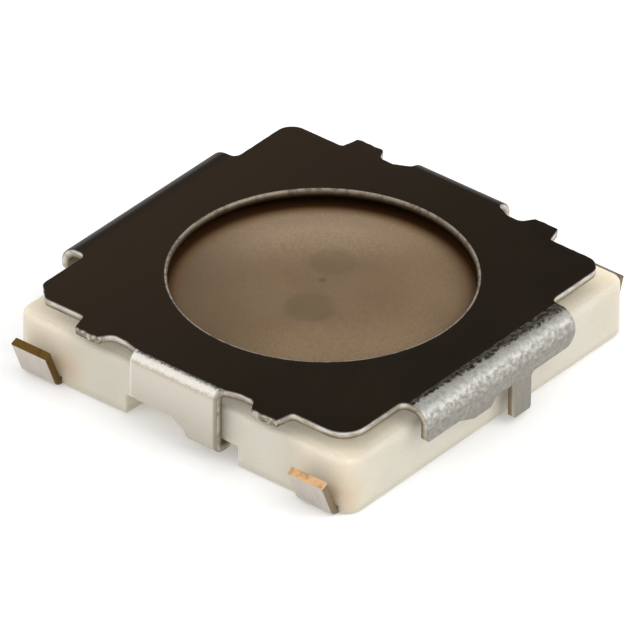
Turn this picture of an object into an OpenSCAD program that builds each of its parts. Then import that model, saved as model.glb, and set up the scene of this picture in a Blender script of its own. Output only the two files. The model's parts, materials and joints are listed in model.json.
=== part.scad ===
// Low-profile tactile push switch for surface mounting, in millimetres.
// A moulded base holds two insert-moulded contacts and a pair of snap domes.
// A tan film covers the domes and a folded sheet-metal cover clamps the stack.
// The origin is the centre of the underside, X runs across the terminals, Z is up.

/* [Base moulding] */
// Length of the base between the two terminal sides
base_x = 4.9; // [4.75:0.05:5.6]
// Width of the base between the two flank sides
base_y = 4.8; // [4.75:0.05:5.6]
// Height of the base's outer corners
base_h = 0.7; // [0.66:0.01:0.76]
// Radius of the base's upright corners
base_corner = 0.2; // [0.05:0.01:0.4]
// Height of the ring that carries the cover, above the base's corners
seat_h = 0.16; // [0.14:0.01:0.24]
// How far the carrying ring stays back from the cover's edge
seat_back = 0.2; // [0.1:0.01:0.22]
// Radius of the carrying ring's outer corners
seat_corner = 0.4; // [0.1:0.01:0.5]
// Diameter of the round well for the domes
well_d = 3.4; // [3.1:0.02:3.44]
// Height of the well's floor, level with the contacts
floor_h = 0.42; // [0.36:0.01:0.44]
// Width of the undercut that takes a crimped foot
undercut_w = 1.6; // [1.4:0.05:2.0]
// Depth of the undercut into the side
undercut_depth = 0.35; // [0.32:0.01:0.45]
// Height of the undercut's ceiling
undercut_h = 0.25; // [0.2:0.01:0.26]
// Diameter of the holding-pin wells in the underside
pin_well_d = 0.5; // [0.3:0.05:0.6]

/* [Cover sheet] */
// Thickness of the cover's sheet metal
sheet = 0.1; // [0.08:0.01:0.12]
// Diameter of the round opening
opening_d = 3.46; // [3.2:0.02:3.6]
// How far the sheet's outline sits off the opening's middle, along X
cover_off = -0.08; // [-0.1:0.01:0]
// How far the cover's corner edges stay inside the terminal sides
corner_inset_x = 0.18; // [0.14:0.01:0.22]
// How far the cover's corner edges stay inside the flank sides
corner_inset_y = 0.13; // [0.1:0.01:0.18]
// Radius of the cover's corners
cover_corner = 0.26; // [0.05:0.01:0.3]
// Distance between the two tabs on one side, centre to centre
tab_pitch = 2.54; // [2.2:0.02:2.8]
// Width of a tab
tab_w = 0.36; // [0.2:0.02:0.5]
// How far a tab reaches past the base's side
tab_overhang = 0.05; // [0:0.01:0.12]
// How far the edge between a tab and a flap stays inside the base's side
relief_inset = 0.1; // [0.06:0.01:0.14]
// Radius of the fillet between the sheet's edge and a flank flap
root_r = 0.09; // [0.05:0.01:0.12]

/* [Crimped flaps on the terminal sides] */
// Width of a crimped flap
crimp_w = 1.25; // [1.1:0.05:1.6]
// Gap between the crimped flap and the base's side at the front terminals
crimp_gap = 0.06; // [0.03:0.01:0.12]
// The same gap at the rear terminals
rear_gap = 0.02; // [0.01:0.01:0.12]
// Outer radius of the bend at the top of the front crimped flap
crimp_bend = 0.13; // [0.12:0.01:0.2]
// The same radius on the rear crimped flap
rear_bend = 0.2; // [0.12:0.01:0.22]
// Height of a crimped flap's plain lower edge
crimp_edge_z = 0.39; // [0.34:0.01:0.5]
// Radius of the plain lower corner
crimp_corner = 0.14; // [0.05:0.01:0.2]
// Width of the crimped foot
foot_w = 0.45; // [0.3:0.05:0.5]
// Width of the sloping step between the plain edge and the foot
foot_step = 0.2; // [0.1:0.02:0.3]
// Clearance between the foot and the undercut's ceiling
foot_clear = 0.01; // [0:0.005:0.03]
// Outer radius of the foot's bend
foot_bend = 0.12; // [0.12:0.01:0.14]
// How far the foot reaches under the base
foot_reach = 0.15; // [0.05:0.01:0.25]

/* [Flank flaps with a ground leg] */
// Width of a flank flap
flank_w = 2.62; // [2.2:0.02:2.9]
// Gap between a flank flap and the base's side
flank_gap = 0.13; // [0.05:0.01:0.2]
// Outer radius of the bend at the top of a flank flap
flank_bend = 0.23; // [0.13:0.01:0.25]
// Height of a flank flap's lower edge
flank_edge_z = 0.55; // [0.46:0.01:0.58]
// Radius of the flank flap's lower corner beside the ground leg
flank_corner = 0.18; // [0.04:0.01:0.2]
// Width of the ground leg
leg_w = 0.3; // [0.2:0.02:0.4]
// Place of the ground leg along the flap, from its middle
leg_at = 0.38; // [0.1:0.02:0.6]
// Radius of the fillets at the leg's root
leg_fillet = 0.06; // [0.02:0.01:0.1]
// Chamfer on one corner of the leg's tip
leg_tip = 0.03; // [0.02:0.01:0.12]
// Gap between the leg's tip and the board
leg_lift = 0.08; // [0:0.01:0.12]
// Width of the small lug beside the leg
lug_w = 0.66; // [0.4:0.02:0.7]
// Place of the lug along the flap, from its middle
lug_at = -0.42; // [-0.6:0.01:-0.3]
// How far the lug reaches below the flap's edge
lug_drop = 0.1; // [0.04:0.01:0.12]
// Run of the slant at the lug's far end
lug_slant = 0.26; // [0.1:0.01:0.3]

/* [Contacts and terminals] */
// Thickness of the contact sheet
contact_t = 0.1; // [0.08:0.01:0.12]
// Distance between the two terminals on one side, centre to centre
term_pitch = 3.96; // [3.8:0.02:4]
// Width of a terminal
term_w = 0.5; // [0.36:0.02:0.5]
// Slope of a terminal's bent end
term_slope = 67; // [60:1:85]
// Outer radius of a terminal's bend
term_bend = 0.13; // [0.13:0.01:0.2]
// Straight length of a terminal's bent end
term_tip = 0.42; // [0.2:0.01:0.5]
// Length of a terminal's flat solder face under the base
solder_l = 0.4; // [0.3:0.02:0.5]
// Run of the sloping step from the solder face up to the floor
step_run = 0.22; // [0.15:0.01:0.3]
// Width of the outer contact's ring
ring_w = 0.5; // [0.4:0.02:0.6]
// How far the ring runs into the wall of the well
ring_sunk = 0.15; // [0.05:0.01:0.16]
// Gap kept between the two contacts
contact_gap = 0.2; // [0.12:0.01:0.25]
// Width of the arm to the centre contact and of the neck to the ring
arm_w = 0.5; // [0.3:0.02:0.7]
// Diameter of the raised centre contact
boss_d = 0.9; // [0.6:0.02:1.2]

/* [Domes, pusher and film] */
// Play between the domes and the well
dome_clear = 0.04; // [0.02:0.01:0.08]
// Thickness of each dome
dome_t = 0.04; // [0.03:0.005:0.05]
// Height of the lower dome's inside
dome_rise = 0.225; // [0.2:0.005:0.25]
// Distance between a dome's two cut sides
dome_flat = 2.5; // [2:0.05:2.6]
// Gap between the stacked domes, and between dome and pusher
stack_gap = 0.008; // [0.004:0.001:0.012]
// Diameter of the pusher
pusher_d = 1.8; // [1.2:0.05:2.2]
// Thickness of the pusher
pusher_t = 0.09; // [0.06:0.01:0.1]
// Chamfer on the pusher's edges
pusher_chamfer = 0.02; // [0.01:0.005:0.03]
// Thickness of the adhesive between pusher and film
glue = 0.01; // [0.005:0.005:0.015]
// Thickness of the film
film_t = 0.04; // [0.02:0.01:0.06]
// Width of the ledge that the film is bonded to
film_ledge = 0.2; // [0.15:0.01:0.22]
// Play between the film and the carrying ring
film_clear = 0.02; // [0.01:0.005:0.03]
// Distance that the pusher travels
travel = 0.12; // [0.08:0.01:0.13]

/* [Hidden] */

// Over is how far a cutting shape runs past the face that it opens.
over = 0.1;
round_fn = 128;
bend_fn = 64;

half_x = base_x / 2;
half_y = base_y / 2;
seat_z = base_h + seat_h;
top_z = seat_z + sheet;

corner_x = half_x - corner_inset_x;
corner_y = half_y - corner_inset_y;
tab_x = half_x + tab_overhang;
relief_x = half_x - relief_inset;
crimp_x = half_x + crimp_gap + sheet;
rear_x = half_x + rear_gap + sheet;
flank_y = half_y + flank_gap + sheet;

term_y = term_pitch / 2;
strip_in = term_y - term_w / 2;
step_out = half_x - solder_l;
step_in = step_out - step_run;
ring_out = well_d / 2 + ring_sunk;
ring_end_y = strip_in - contact_gap;
ring_gap = 2 * sqrt(ring_out * ring_out - ring_end_y * ring_end_y);

dome_r = well_d / 2 - dome_clear;
lower_apex = floor_h + dome_rise + dome_t;
upper_apex = lower_apex + stack_gap + dome_t;
pusher_z = upper_apex + stack_gap;
film_d = well_d + 2 * film_ledge;
crown = pusher_z + pusher_t + glue - base_h;
closing_gap = 0.005;
boss_z = floor_h + dome_rise - travel - closing_gap;
film_flat_r = pusher_d / 2 + 0.05;
film_steps = 14;

// A rectangle from the middle outwards with round corners.
module round_rect(hx, hy, r) {
    for (x = [-1, 1])
        for (y = [-1, 1])
            translate([x * (hx - r), y * (hy - r)])
                circle(r, $fn = bend_fn);
    square([2 * hx, 2 * (hy - r)], center = true);
    square([2 * (hx - r), 2 * hy], center = true);
}

// A strip of sheet that lies along X and turns upwards by an angle at its end.
// The outer skin of the bend has the radius r and starts at the origin.
module turned_strip(back, r, t, angle, ahead) {
    translate([-back, 0])
        square([back, t]);
    translate([0, r])
        intersection() {
            difference() {
                circle(r, $fn = bend_fn);
                circle(r - t, $fn = bend_fn);
            }
            rotate(-90)
                polygon([[0, 0], [2 * r, 0], [2 * r, 2 * r * tan(min(angle, 89) / 2)],
                         [2 * r * cos(angle), 2 * r * sin(angle)]]);
        }
    translate([0, r])
        rotate(angle)
            translate([0, -r])
                square([ahead, t]);
}

// Stands a profile that is drawn in X and Z up, and spreads it evenly along Y.
module spread(width) {
    translate([0, width / 2, 0])
        rotate([90, 0, 0])
            linear_extrude(width)
                children();
}

// Stands an outline that is drawn along Y and Z up, and spreads it along X.
module face_out(from, to) {
    translate([from, 0, 0])
        rotate([90, 0, 90])
            linear_extrude(to - from)
                children();
}

// Base moulding.
module base_block() {
    linear_extrude(base_h)
        round_rect(half_x, half_y, base_corner);
    linear_extrude(seat_z)
        round_rect(corner_x - seat_back, corner_y - seat_back, seat_corner);
}

module undercuts() {
    for (side = [-1, 1])
        translate([side * half_x, 0, undercut_h / 2 - over / 2])
            cube([2 * undercut_depth, undercut_w, undercut_h + over], center = true);
}

// The contacts are held by pins while the base is moulded, which leaves wells.
module pin_wells() {
    ring_mid = ring_out - ring_w / 2;
    for (spot = [[0, -ring_mid / 2], [-ring_mid, 0], [ring_mid, 0], [0, ring_mid]])
        translate([spot[0], spot[1], -over])
            cylinder(d = pin_well_d, h = floor_h - contact_t + over, $fn = bend_fn);
}

module base() {
    color("ivory")
        difference() {
            base_block();
            translate([0, 0, floor_h])
                cylinder(d = well_d, h = seat_z, $fn = round_fn);
            translate([0, 0, base_h])
                cylinder(d = film_d + 2 * film_clear, h = seat_h + over, $fn = round_fn);
            undercuts();
            pin_wells();
            centre_contact_form();
            outer_contact_form();
        }
}

// Cover: the flat plate with its tabs, root fillets and opening.
module plate_outline() {
    difference() {
        union() {
            translate([cover_off, 0])
                plate_blank();
            translate([crimp_bend - crimp_x, -crimp_w / 2])
                square([crimp_x - crimp_bend + rear_x - rear_bend, crimp_w]);
        }
        circle(d = opening_d, $fn = round_fn);
    }
}

module plate_blank() {
    round_rect(corner_x, corner_y, cover_corner);
    square([2 * relief_x, tab_pitch], center = true);
    square([flank_w, 2 * (flank_y - flank_bend)], center = true);
    for (y = [-1, 1])
        translate([0, y * tab_pitch / 2])
            square([2 * tab_x, tab_w], center = true);
    for (x = [0, 1])
        for (y = [0, 1])
            mirror([x, 0])
                mirror([0, y])
                    translate([flank_w / 2, corner_y])
                        root_fillet();
}

// Fills the corner between the sheet's edge and the end of a flank flap.
module root_fillet() {
    difference() {
        translate([-root_r, -root_r])
            square(2 * root_r);
        translate([root_r, root_r])
            circle(root_r, $fn = bend_fn);
    }
}

// Outline of a crimped flap's face, drawn along Y and Z.
module crimp_outline() {
    half = crimp_w / 2;
    foot_in = half - foot_w;
    low = undercut_h - foot_clear - sheet + foot_bend;
    difference() {
        polygon([[-half, top_z], [half, top_z], [half, low], [foot_in, low],
                 [foot_in - foot_step, crimp_edge_z], [-half, crimp_edge_z]]);
        translate([-half, crimp_edge_z])
            difference() {
                square(crimp_corner);
                translate([crimp_corner, crimp_corner])
                    circle(crimp_corner, $fn = bend_fn);
            }
    }
}

module crimp_flap(face_x, bend) {
    low = undercut_h - foot_clear - sheet;
    intersection() {
        spread(crimp_w)
            translate([face_x - bend, top_z])
                mirror([0, 1])
                    turned_strip(sheet, bend, sheet, 90, top_z);
        face_out(face_x - bend - sheet, face_x + over)
            crimp_outline();
    }
    translate([0, crimp_w / 2 - foot_w / 2, 0])
        spread(foot_w)
            translate([face_x - foot_bend, low])
                turned_strip(foot_reach, foot_bend, sheet, 90, over);
}

// Outline of a flank flap's face with its ground leg and lug, drawn along Y and Z.
module flank_outline() {
    half = flank_w / 2;
    difference() {
        translate([-half, flank_edge_z])
            square([flank_w, top_z - flank_edge_z]);
        mirror([1, 0])
            translate([-half, flank_edge_z])
                difference() {
                    square(flank_corner);
                    translate([flank_corner, flank_corner])
                        circle(flank_corner, $fn = bend_fn);
                }
    }
    polygon([[leg_at - leg_w / 2, flank_edge_z + over], [leg_at + leg_w / 2, flank_edge_z + over],
             [leg_at + leg_w / 2, leg_lift + leg_tip], [leg_at + leg_w / 2 - leg_tip, leg_lift],
             [leg_at - leg_w / 2, leg_lift]]);
    for (side = [-1, 1])
        translate([leg_at + side * leg_w / 2, flank_edge_z])
            difference() {
                translate([side > 0 ? 0 : -leg_fillet, -leg_fillet])
                    square(leg_fillet);
                translate([side * leg_fillet, -leg_fillet])
                    circle(leg_fillet, $fn = bend_fn);
            }
    translate([lug_at, flank_edge_z])
        polygon([[-lug_w / 2, over], [lug_w / 2, over], [lug_w / 2, 0],
                 [lug_w / 2 - lug_drop, -lug_drop], [lug_slant - lug_w / 2, -lug_drop],
                 [-lug_w / 2, 0]]);
}

module flank_flap() {
    intersection() {
        spread(flank_w)
            translate([flank_y - flank_bend, top_z])
                mirror([0, 1])
                    turned_strip(sheet, flank_bend, sheet, 90, top_z);
        face_out(flank_y - flank_bend - sheet, flank_y + over)
            flank_outline();
    }
}

module cover() {
    color("dimgray") {
        translate([0, 0, seat_z])
            linear_extrude(sheet)
                plate_outline();
        rotate(180)
            crimp_flap(crimp_x, crimp_bend);
        crimp_flap(rear_x, rear_bend);
        for (turn = [90, -90])
            translate([cover_off, 0, 0])
                rotate(turn)
                    flank_flap();
    }
}

// Terminal: it leaves the contact plane, steps down to the solder face and
// turns up outside the base.
module terminal(side) {
    translate([0, side * term_y, 0])
        spread(term_w) {
            polygon([[step_in, floor_h - contact_t], [step_out, 0], [half_x, 0],
                     [half_x, contact_t], [step_out + contact_t / 2, contact_t],
                     [step_in + contact_t / 2, floor_h], [step_in - over, floor_h],
                     [step_in - over, floor_h - contact_t]]);
            translate([half_x, 0])
                turned_strip(solder_l / 2, term_bend, contact_t, term_slope, term_tip);
        }
}

// The strip that joins the two terminals of one contact, with both terminals.
module terminal_pair(side) {
    terminal(side);
    mirror([1, 0, 0])
        terminal(side);
    translate([0, side * term_y, floor_h - contact_t / 2])
        cube([2 * step_in, term_w, contact_t], center = true);
}

module centre_contact_form() {
    terminal_pair(-1);
    translate([0, 0, floor_h - contact_t])
        linear_extrude(contact_t) {
            translate([-arm_w / 2, -strip_in])
                square([arm_w, strip_in]);
            circle(d = boss_d + 2 * contact_t, $fn = bend_fn);
        }
    translate([0, 0, floor_h])
        cylinder(d = boss_d, h = boss_z - floor_h, $fn = bend_fn);
}

module centre_contact() {
    color("silver")
        centre_contact_form();
}

// The ring is carried by its strip through a neck that starts inside the ring.
module outer_contact_form() {
    ring_mid = ring_out - ring_w / 2;
    terminal_pair(1);
    translate([0, 0, floor_h - contact_t])
        linear_extrude(contact_t) {
            difference() {
                circle(ring_out, $fn = round_fn);
                circle(ring_out - ring_w, $fn = round_fn);
                translate([-ring_gap / 2, -ring_out])
                    square([ring_gap, ring_out]);
            }
            translate([-arm_w / 2, ring_mid])
                square([arm_w, term_y - ring_mid]);
        }
}

module outer_contact() {
    color("silver")
        outer_contact_form();
}

// A spherical cap of thin sheet with two sides cut straight.
module snap_dome(foot_z) {
    inner_r = (dome_r * dome_r + dome_rise * dome_rise) / (2 * dome_rise);
    centre_z = foot_z + dome_rise - inner_r;
    intersection() {
        rotate_extrude($fn = round_fn)
            intersection() {
                translate([0, centre_z])
                    difference() {
                        circle(inner_r + dome_t, $fn = 4 * round_fn);
                        circle(inner_r, $fn = 4 * round_fn);
                    }
                translate([0, foot_z])
                    square([dome_r, dome_rise + 2 * dome_t]);
            }
        translate([-well_d / 2, -dome_flat / 2, foot_z])
            cube([well_d, dome_flat, 2 * dome_rise]);
    }
}

module lower_dome() {
    color("gainsboro")
        snap_dome(floor_h);
}

module upper_dome() {
    color("whitesmoke")
        snap_dome(floor_h + dome_t + stack_gap);
}

// Pusher: a thin disc between the upper dome and the film.
module pusher() {
    r = pusher_d / 2;
    c = pusher_chamfer;
    color("tan")
        translate([0, 0, pusher_z])
            rotate_extrude($fn = round_fn)
                polygon([[0, 0], [r - c, 0], [r, c], [r, pusher_t - c],
                         [r - c, pusher_t], [0, pusher_t]]);
}

// Height of the film's underside above the ledge: flat over the pusher, then a
// smooth wave down to the ledge.
function film_rise(r) =
    let (s = (r - film_flat_r) / (well_d / 2 - film_flat_r))
    s <= 0 ? crown : s >= 1 ? 0 : crown * (1 + cos(180 * s)) / 2;

module protective_film() {
    stops = [for (i = [0 : film_steps])
             film_flat_r + (well_d / 2 - film_flat_r) * i / film_steps];
    under = [for (r = stops) [r, film_rise(r)]];
    upper = [for (i = [0 : film_steps]) [stops[film_steps - i],
             film_rise(stops[film_steps - i]) + film_t]];
    color("rosybrown")
        translate([0, 0, base_h])
            rotate_extrude($fn = round_fn)
                polygon(concat([[0, crown]], under, [[film_d / 2, 0], [film_d / 2, film_t]],
                               upper, [[0, crown + film_t]]));
}

base();
cover();
protective_film();
pusher();
upper_dome();
lower_dome();
centre_contact();
outer_contact();
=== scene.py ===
# %% [markdown]
# # A low-profile push switch
# The real object is a square moulded base, 4.9 mm long, with a folded metal cover clamped on it. A tan
# film shows in the cover's round opening, and four soldering ends turn up at the sides. The CAD model
# already gives every piece its place and size. This lesson gives each piece that shows a finer surface
# and its finish, around that fixed frame. All shapes are worked out in millimetres and brought to metres
# at the very end, because numbers near one are easier to read than numbers near a thousandth.

# %% Load the frame
import json
import bmesh
import bpy
import numpy as np
from mathutils import Matrix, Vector
from mathutils.geometry import delaunay_2d_cdt


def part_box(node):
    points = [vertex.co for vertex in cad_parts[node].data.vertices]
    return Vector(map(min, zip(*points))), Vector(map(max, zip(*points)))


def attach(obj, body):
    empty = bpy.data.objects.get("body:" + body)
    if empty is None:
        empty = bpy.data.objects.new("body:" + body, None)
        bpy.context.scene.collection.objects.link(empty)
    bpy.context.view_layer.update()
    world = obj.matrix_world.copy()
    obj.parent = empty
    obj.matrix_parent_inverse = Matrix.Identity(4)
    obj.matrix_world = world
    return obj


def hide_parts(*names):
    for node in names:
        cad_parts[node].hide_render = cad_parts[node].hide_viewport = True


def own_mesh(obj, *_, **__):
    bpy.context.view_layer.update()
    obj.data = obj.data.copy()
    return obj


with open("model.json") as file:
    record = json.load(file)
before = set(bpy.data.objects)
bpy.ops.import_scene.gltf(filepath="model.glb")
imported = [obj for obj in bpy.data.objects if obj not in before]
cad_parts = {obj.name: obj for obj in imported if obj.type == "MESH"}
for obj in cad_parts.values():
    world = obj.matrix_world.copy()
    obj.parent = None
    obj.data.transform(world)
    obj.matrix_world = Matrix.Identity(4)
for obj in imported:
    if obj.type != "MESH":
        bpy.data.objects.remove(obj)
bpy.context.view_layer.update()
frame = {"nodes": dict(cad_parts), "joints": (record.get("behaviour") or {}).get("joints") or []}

MM = 0.001

# %% [markdown]
# ## Sizes from the frame
# A scene can't read the CAD source, but it can measure the solids. The boxes of the nodes give the main
# planes: the board is at zero, the cover's top skin is the highest face, and the outer skins of the
# flaps are the widest. Measured sizes can't drift away from the model, so only what a box can't tell is
# written down as a number.

# %% Planes and radii of the real parts


def box_mm(node):
    """Lowest and highest corner of a CAD node in millimetres, as two arrays."""
    low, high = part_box(node)
    return np.array(low) / MM, np.array(high) / MM


half_x, half_y, seat_z = box_mm("base")[1]
rear_x, flank_y, top_z = box_mm("cover")[1]
front_x = -box_mm("cover")[0][0]
film_edge_r, _, film_top = box_mm("protective_film")[1]
ledge_z = box_mm("protective_film")[0][2]
terminal_reach = box_mm("centre_contact")[1][0]
terminal_w = 0.5
terminal_y = -box_mm("centre_contact")[0][1] - terminal_w / 2
leg_tip_z = box_mm("cover")[0][2]
dome_low, dome_high = ({node: box_mm(node)[end][2] for node in ("upper_dome", "lower_dome")}
                       for end in (0, 1))
sheet = top_z - seat_z
base_h = ledge_z
print(f"base {2 * half_x:.2f} by {2 * half_y:.2f}, cover top {top_z:.3f}, sheet {sheet:.3f}")

# %% [markdown]
# ## From points to a piece
# Every shape below ends as an array of points and an array of faces. One function turns them into a
# Blender object: it welds points that coincide, so that poles and seams are closed, and turns the faces
# outwards. To know which way is out, it adds up the signed volumes of the pyramids between each
# triangle and the origin: the sum is positive only when the faces look outwards.

# %% Quads of a grid, and which way is out


def grid_faces(rows, cols, close_rows=False, close_cols=False, start=0):
    """Quads of a grid of points: each joins a point to its neighbours in the row and in the next row."""
    i = np.arange(rows if close_rows else rows - 1)[:, None]
    j = np.arange(cols if close_cols else cols - 1)[None, :]
    i_next, j_next = (i + 1) % rows, (j + 1) % cols
    corners = [i * cols + j, i * cols + j_next, i_next * cols + j_next, i_next * cols + j]
    return start + np.stack(corners, -1).reshape(-1, 4)


def signed_volume(points, triangles):
    """Sum of the pyramids from the origin to each triangle: a third of base times height, with a sign."""
    a, b, c = (points[triangles[:, k]] for k in range(3))
    return float((a * np.cross(b, c)).sum() / 6)


print("a grid of 3 by 4 points has", len(grid_faces(3, 4)), "quads")

# %% A piece from arrays


def make_piece(name, points, faces, attributes=None, uv=None, smooth_angle=35.0):
    """A closed mesh object from points in millimetres, welded, with its faces outwards.

    attributes holds one number a point under each name, and uv one pair a point."""
    mesh = bpy.data.meshes.new(name)
    mesh.from_pydata((points * MM).tolist(), [], [list(f) for f in faces])
    for key, values in (attributes or {}).items():
        mesh.attributes.new(key, "FLOAT", "POINT").data.foreach_set("value", values.astype(np.float32))
    if uv is not None:
        corner = np.zeros(len(mesh.loops), np.int32)
        mesh.loops.foreach_get("vertex_index", corner)
        layer = mesh.uv_layers.new(name="blank")
        layer.data.foreach_set("uv", uv[corner].astype(np.float32).ravel())
    work = bmesh.new()
    work.from_mesh(mesh)
    bmesh.ops.remove_doubles(work, verts=work.verts, dist=1e-8)
    bmesh.ops.dissolve_degenerate(work, edges=work.edges, dist=1e-8)
    if work.calc_volume(signed=True) < 0:
        bmesh.ops.reverse_faces(work, faces=work.faces)
    open_edges = sum(not edge.is_manifold for edge in work.edges)
    volume = work.calc_volume()
    work.to_mesh(mesh)
    work.free()
    mesh.shade_smooth()
    mesh.set_sharp_from_angle(angle=np.radians(smooth_angle))
    piece = bpy.data.objects.new(name, mesh)
    bpy.context.scene.collection.objects.link(piece)
    print(f"{name}: {len(mesh.polygons)} faces, {volume / MM ** 3:.3f} mm3, {open_edges} open edges")
    return piece


def even_normals(piece):
    """Large faces keep their own direction, so flat skins stay flat beside small round edges."""
    weighted = piece.modifiers.new("even_normals", "WEIGHTED_NORMAL")
    weighted.keep_sharp = True
    weighted.weight = 100


print("pieces go to", bpy.context.scene.collection.name)

# %% [markdown]
# ## Outlines with round corners
# Stamped and moulded parts have no perfect corners, because a punch or a mould can't cut them. An
# outline is therefore given as a few corners, each with its radius. The arc that replaces a corner
# touches both of its sides, and it starts before the corner by the radius times the tangent of half the
# turn. The function also returns the direction that points out of the outline at every point, which is
# what a cut edge needs later.

# %% Rounded outline


def rounded_outline(corners, step, closed=True):
    """Points and outward directions along a line whose corners (x, y, radius) are rounded by arcs.

    An arc is sampled about every twelve degrees, a straight about every step. The outward direction is
    the travel direction turned a quarter turn to the right."""
    table = np.array(corners, float)
    spots, radii = table[:, :2], table[:, 2]
    count = len(spots)
    points, headings = [], []
    for k in range(count):
        inner = closed or 0 < k < count - 1
        before = spots[k] - spots[k - 1] if inner else spots[min(k + 1, count - 1)] - spots[max(k - 1, 0)]
        after = spots[(k + 1) % count] - spots[k] if inner else before
        enter, leave = np.arctan2(before[1], before[0]), np.arctan2(after[1], after[0])
        turn = (leave - enter + np.pi) % (2 * np.pi) - np.pi
        cut = radii[k] * abs(np.tan(turn / 2))
        parts = max(int(np.ceil(abs(turn) / np.radians(12))), 1) if cut > 0 else 0
        if cut > 0:
            share = np.linspace(0, 1, parts + 1)
            heading = enter + turn * share
            side = np.sign(turn)
            start = spots[k] - cut * before / np.hypot(*before)
            centre = start + side * radii[k] * np.array([-np.sin(enter), np.cos(enter)])
            points.append(centre + side * radii[k] * np.stack([np.sin(heading), -np.cos(heading)], -1))
        else:
            heading = np.array([enter + turn / 2])
            points.append(spots[k][None])
        headings.append(heading)
    line, facing = [], []
    for k in range(count if closed else count - 1):
        line.append(points[k])
        facing.append(headings[k])
        start, end = points[k][-1], points[(k + 1) % count][0]
        inner_points = int(np.hypot(*(end - start)) / step)
        share = (np.arange(inner_points) + 1)[:, None] / (inner_points + 1)
        line.append(start + (end - start) * share)
        way = np.arctan2(end[1] - start[1], end[0] - start[0])
        facing.append(np.full(inner_points, way))
    if not closed:
        line.append(points[-1])
        facing.append(headings[-1])
    way = np.concatenate(facing)
    return np.concatenate(line), np.stack([np.sin(way), -np.cos(way)], -1)


square = [(-1, -1, 0.5), (1, -1, 0.5), (1, 1, 0.5), (-1, 1, 0.5)]
print("a square with round corners has", len(rounded_outline(square, step=0.5)[0]), "points")

# %% [markdown]
# ## The camera
# The photograph was taken from far away with a long lens, a little rolled. A camera that is fitted to
# four things in it (the ellipse of the opening, the base's lower edges, the cover's edges and the
# upright corner) sits 150 mm from the object's middle. Its place is worked out from three angles, so it
# can be read as a photographer would say it: how far round, how high, and how tilted.

# %% Camera at the photograph's angle
camera_round, camera_high, camera_roll = 0.8928, 0.5856, 0.0118
camera_far = 150.0
aim_right, aim_up = -0.0191, 0.2908
focal_pixels, picture_pixels = 13430.7, 640
right = np.array([np.cos(camera_round), -np.sin(camera_round), 0])
look = np.array([np.sin(camera_round) * np.cos(camera_high),
                 np.cos(camera_round) * np.cos(camera_high), -np.sin(camera_high)])
upward = np.cross(right, look)
rolled_right = right * np.cos(camera_roll) + upward * np.sin(camera_roll)
rolled_up = upward * np.cos(camera_roll) - right * np.sin(camera_roll)
eye = (-camera_far * look + aim_right * rolled_right + aim_up * rolled_up) * MM

camera = bpy.data.objects.new("camera", bpy.data.cameras.new("camera"))
camera.data.sensor_width = 36
camera.data.lens = focal_pixels / picture_pixels * camera.data.sensor_width
camera.data.clip_start, camera.data.clip_end = 0.01, 10
camera_axes = np.column_stack([rolled_right, rolled_up, -look, eye])
camera.matrix_world = Matrix(np.vstack([camera_axes, [0, 0, 0, 1]]).tolist())
bpy.context.scene.collection.objects.link(camera)
bpy.context.scene.camera = camera
print("camera at", np.round(eye / MM, 2), "mm, lens", round(camera.data.lens, 1), "mm")

# %% [markdown]
# ## The cover's flat blank
# The cover starts its life as a flat blank: a punch cuts the outline and the opening, and a tool folds
# the four flaps down. A mesh could be bent by a modifier or modelled folded, but then every cut edge
# has to be built twice. It is simpler to do as the factory does: draw the flat blank once, and let one
# formula fold every point. The blank's lengths past a bend line are measured along the middle of the
# sheet, where metal neither stretches nor shrinks.

# %% Bend lines and lengths of the blank
front_bend, rear_bend, flank_bend, foot_bend = 0.13, 0.20, 0.23, 0.12
crimp_edge_z, flank_edge_z = 0.39, 0.55
undercut_h, foot_clear, foot_reach = 0.25, 0.01, 0.15
quarter = np.pi / 2
front_line, rear_line, bend_y = front_x - front_bend, rear_x - rear_bend, flank_y - flank_bend
foot_low = undercut_h - foot_clear - sheet
front_fall = top_z - front_bend - foot_low - foot_bend
rear_fall = top_z - rear_bend - foot_low - foot_bend
front_arc = (front_bend - sheet / 2) * quarter
rear_arc = (rear_bend - sheet / 2) * quarter
flank_arc = (flank_bend - sheet / 2) * quarter
foot_arc = (foot_bend - sheet / 2) * quarter
flank_edge = bend_y + flank_arc + (top_z - flank_bend - flank_edge_z)
leg_end = bend_y + flank_arc + (top_z - flank_bend - leg_tip_z)
print(f"bend lines at x {-front_line:.2f} and {rear_line:.2f}, and at y {bend_y:.2f} on both flanks")

# %% Corners of the terminal sides
cover_off = -0.08
corner_x, corner_y = 2.27, 2.27
tab_x, tab_low, tab_high = 2.50, 1.09, 1.45
relief_x = 2.35
crimp_half, crimp_corner, foot_in, foot_step = 0.625, 0.14, 0.175, 0.2
small, tab_r, root, relief_r, flap_root = 0.03, 0.04, 0.05, 0.1, 0.06
slant, neck, flap_gap = 0.02, 0.08, 0.2


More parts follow.
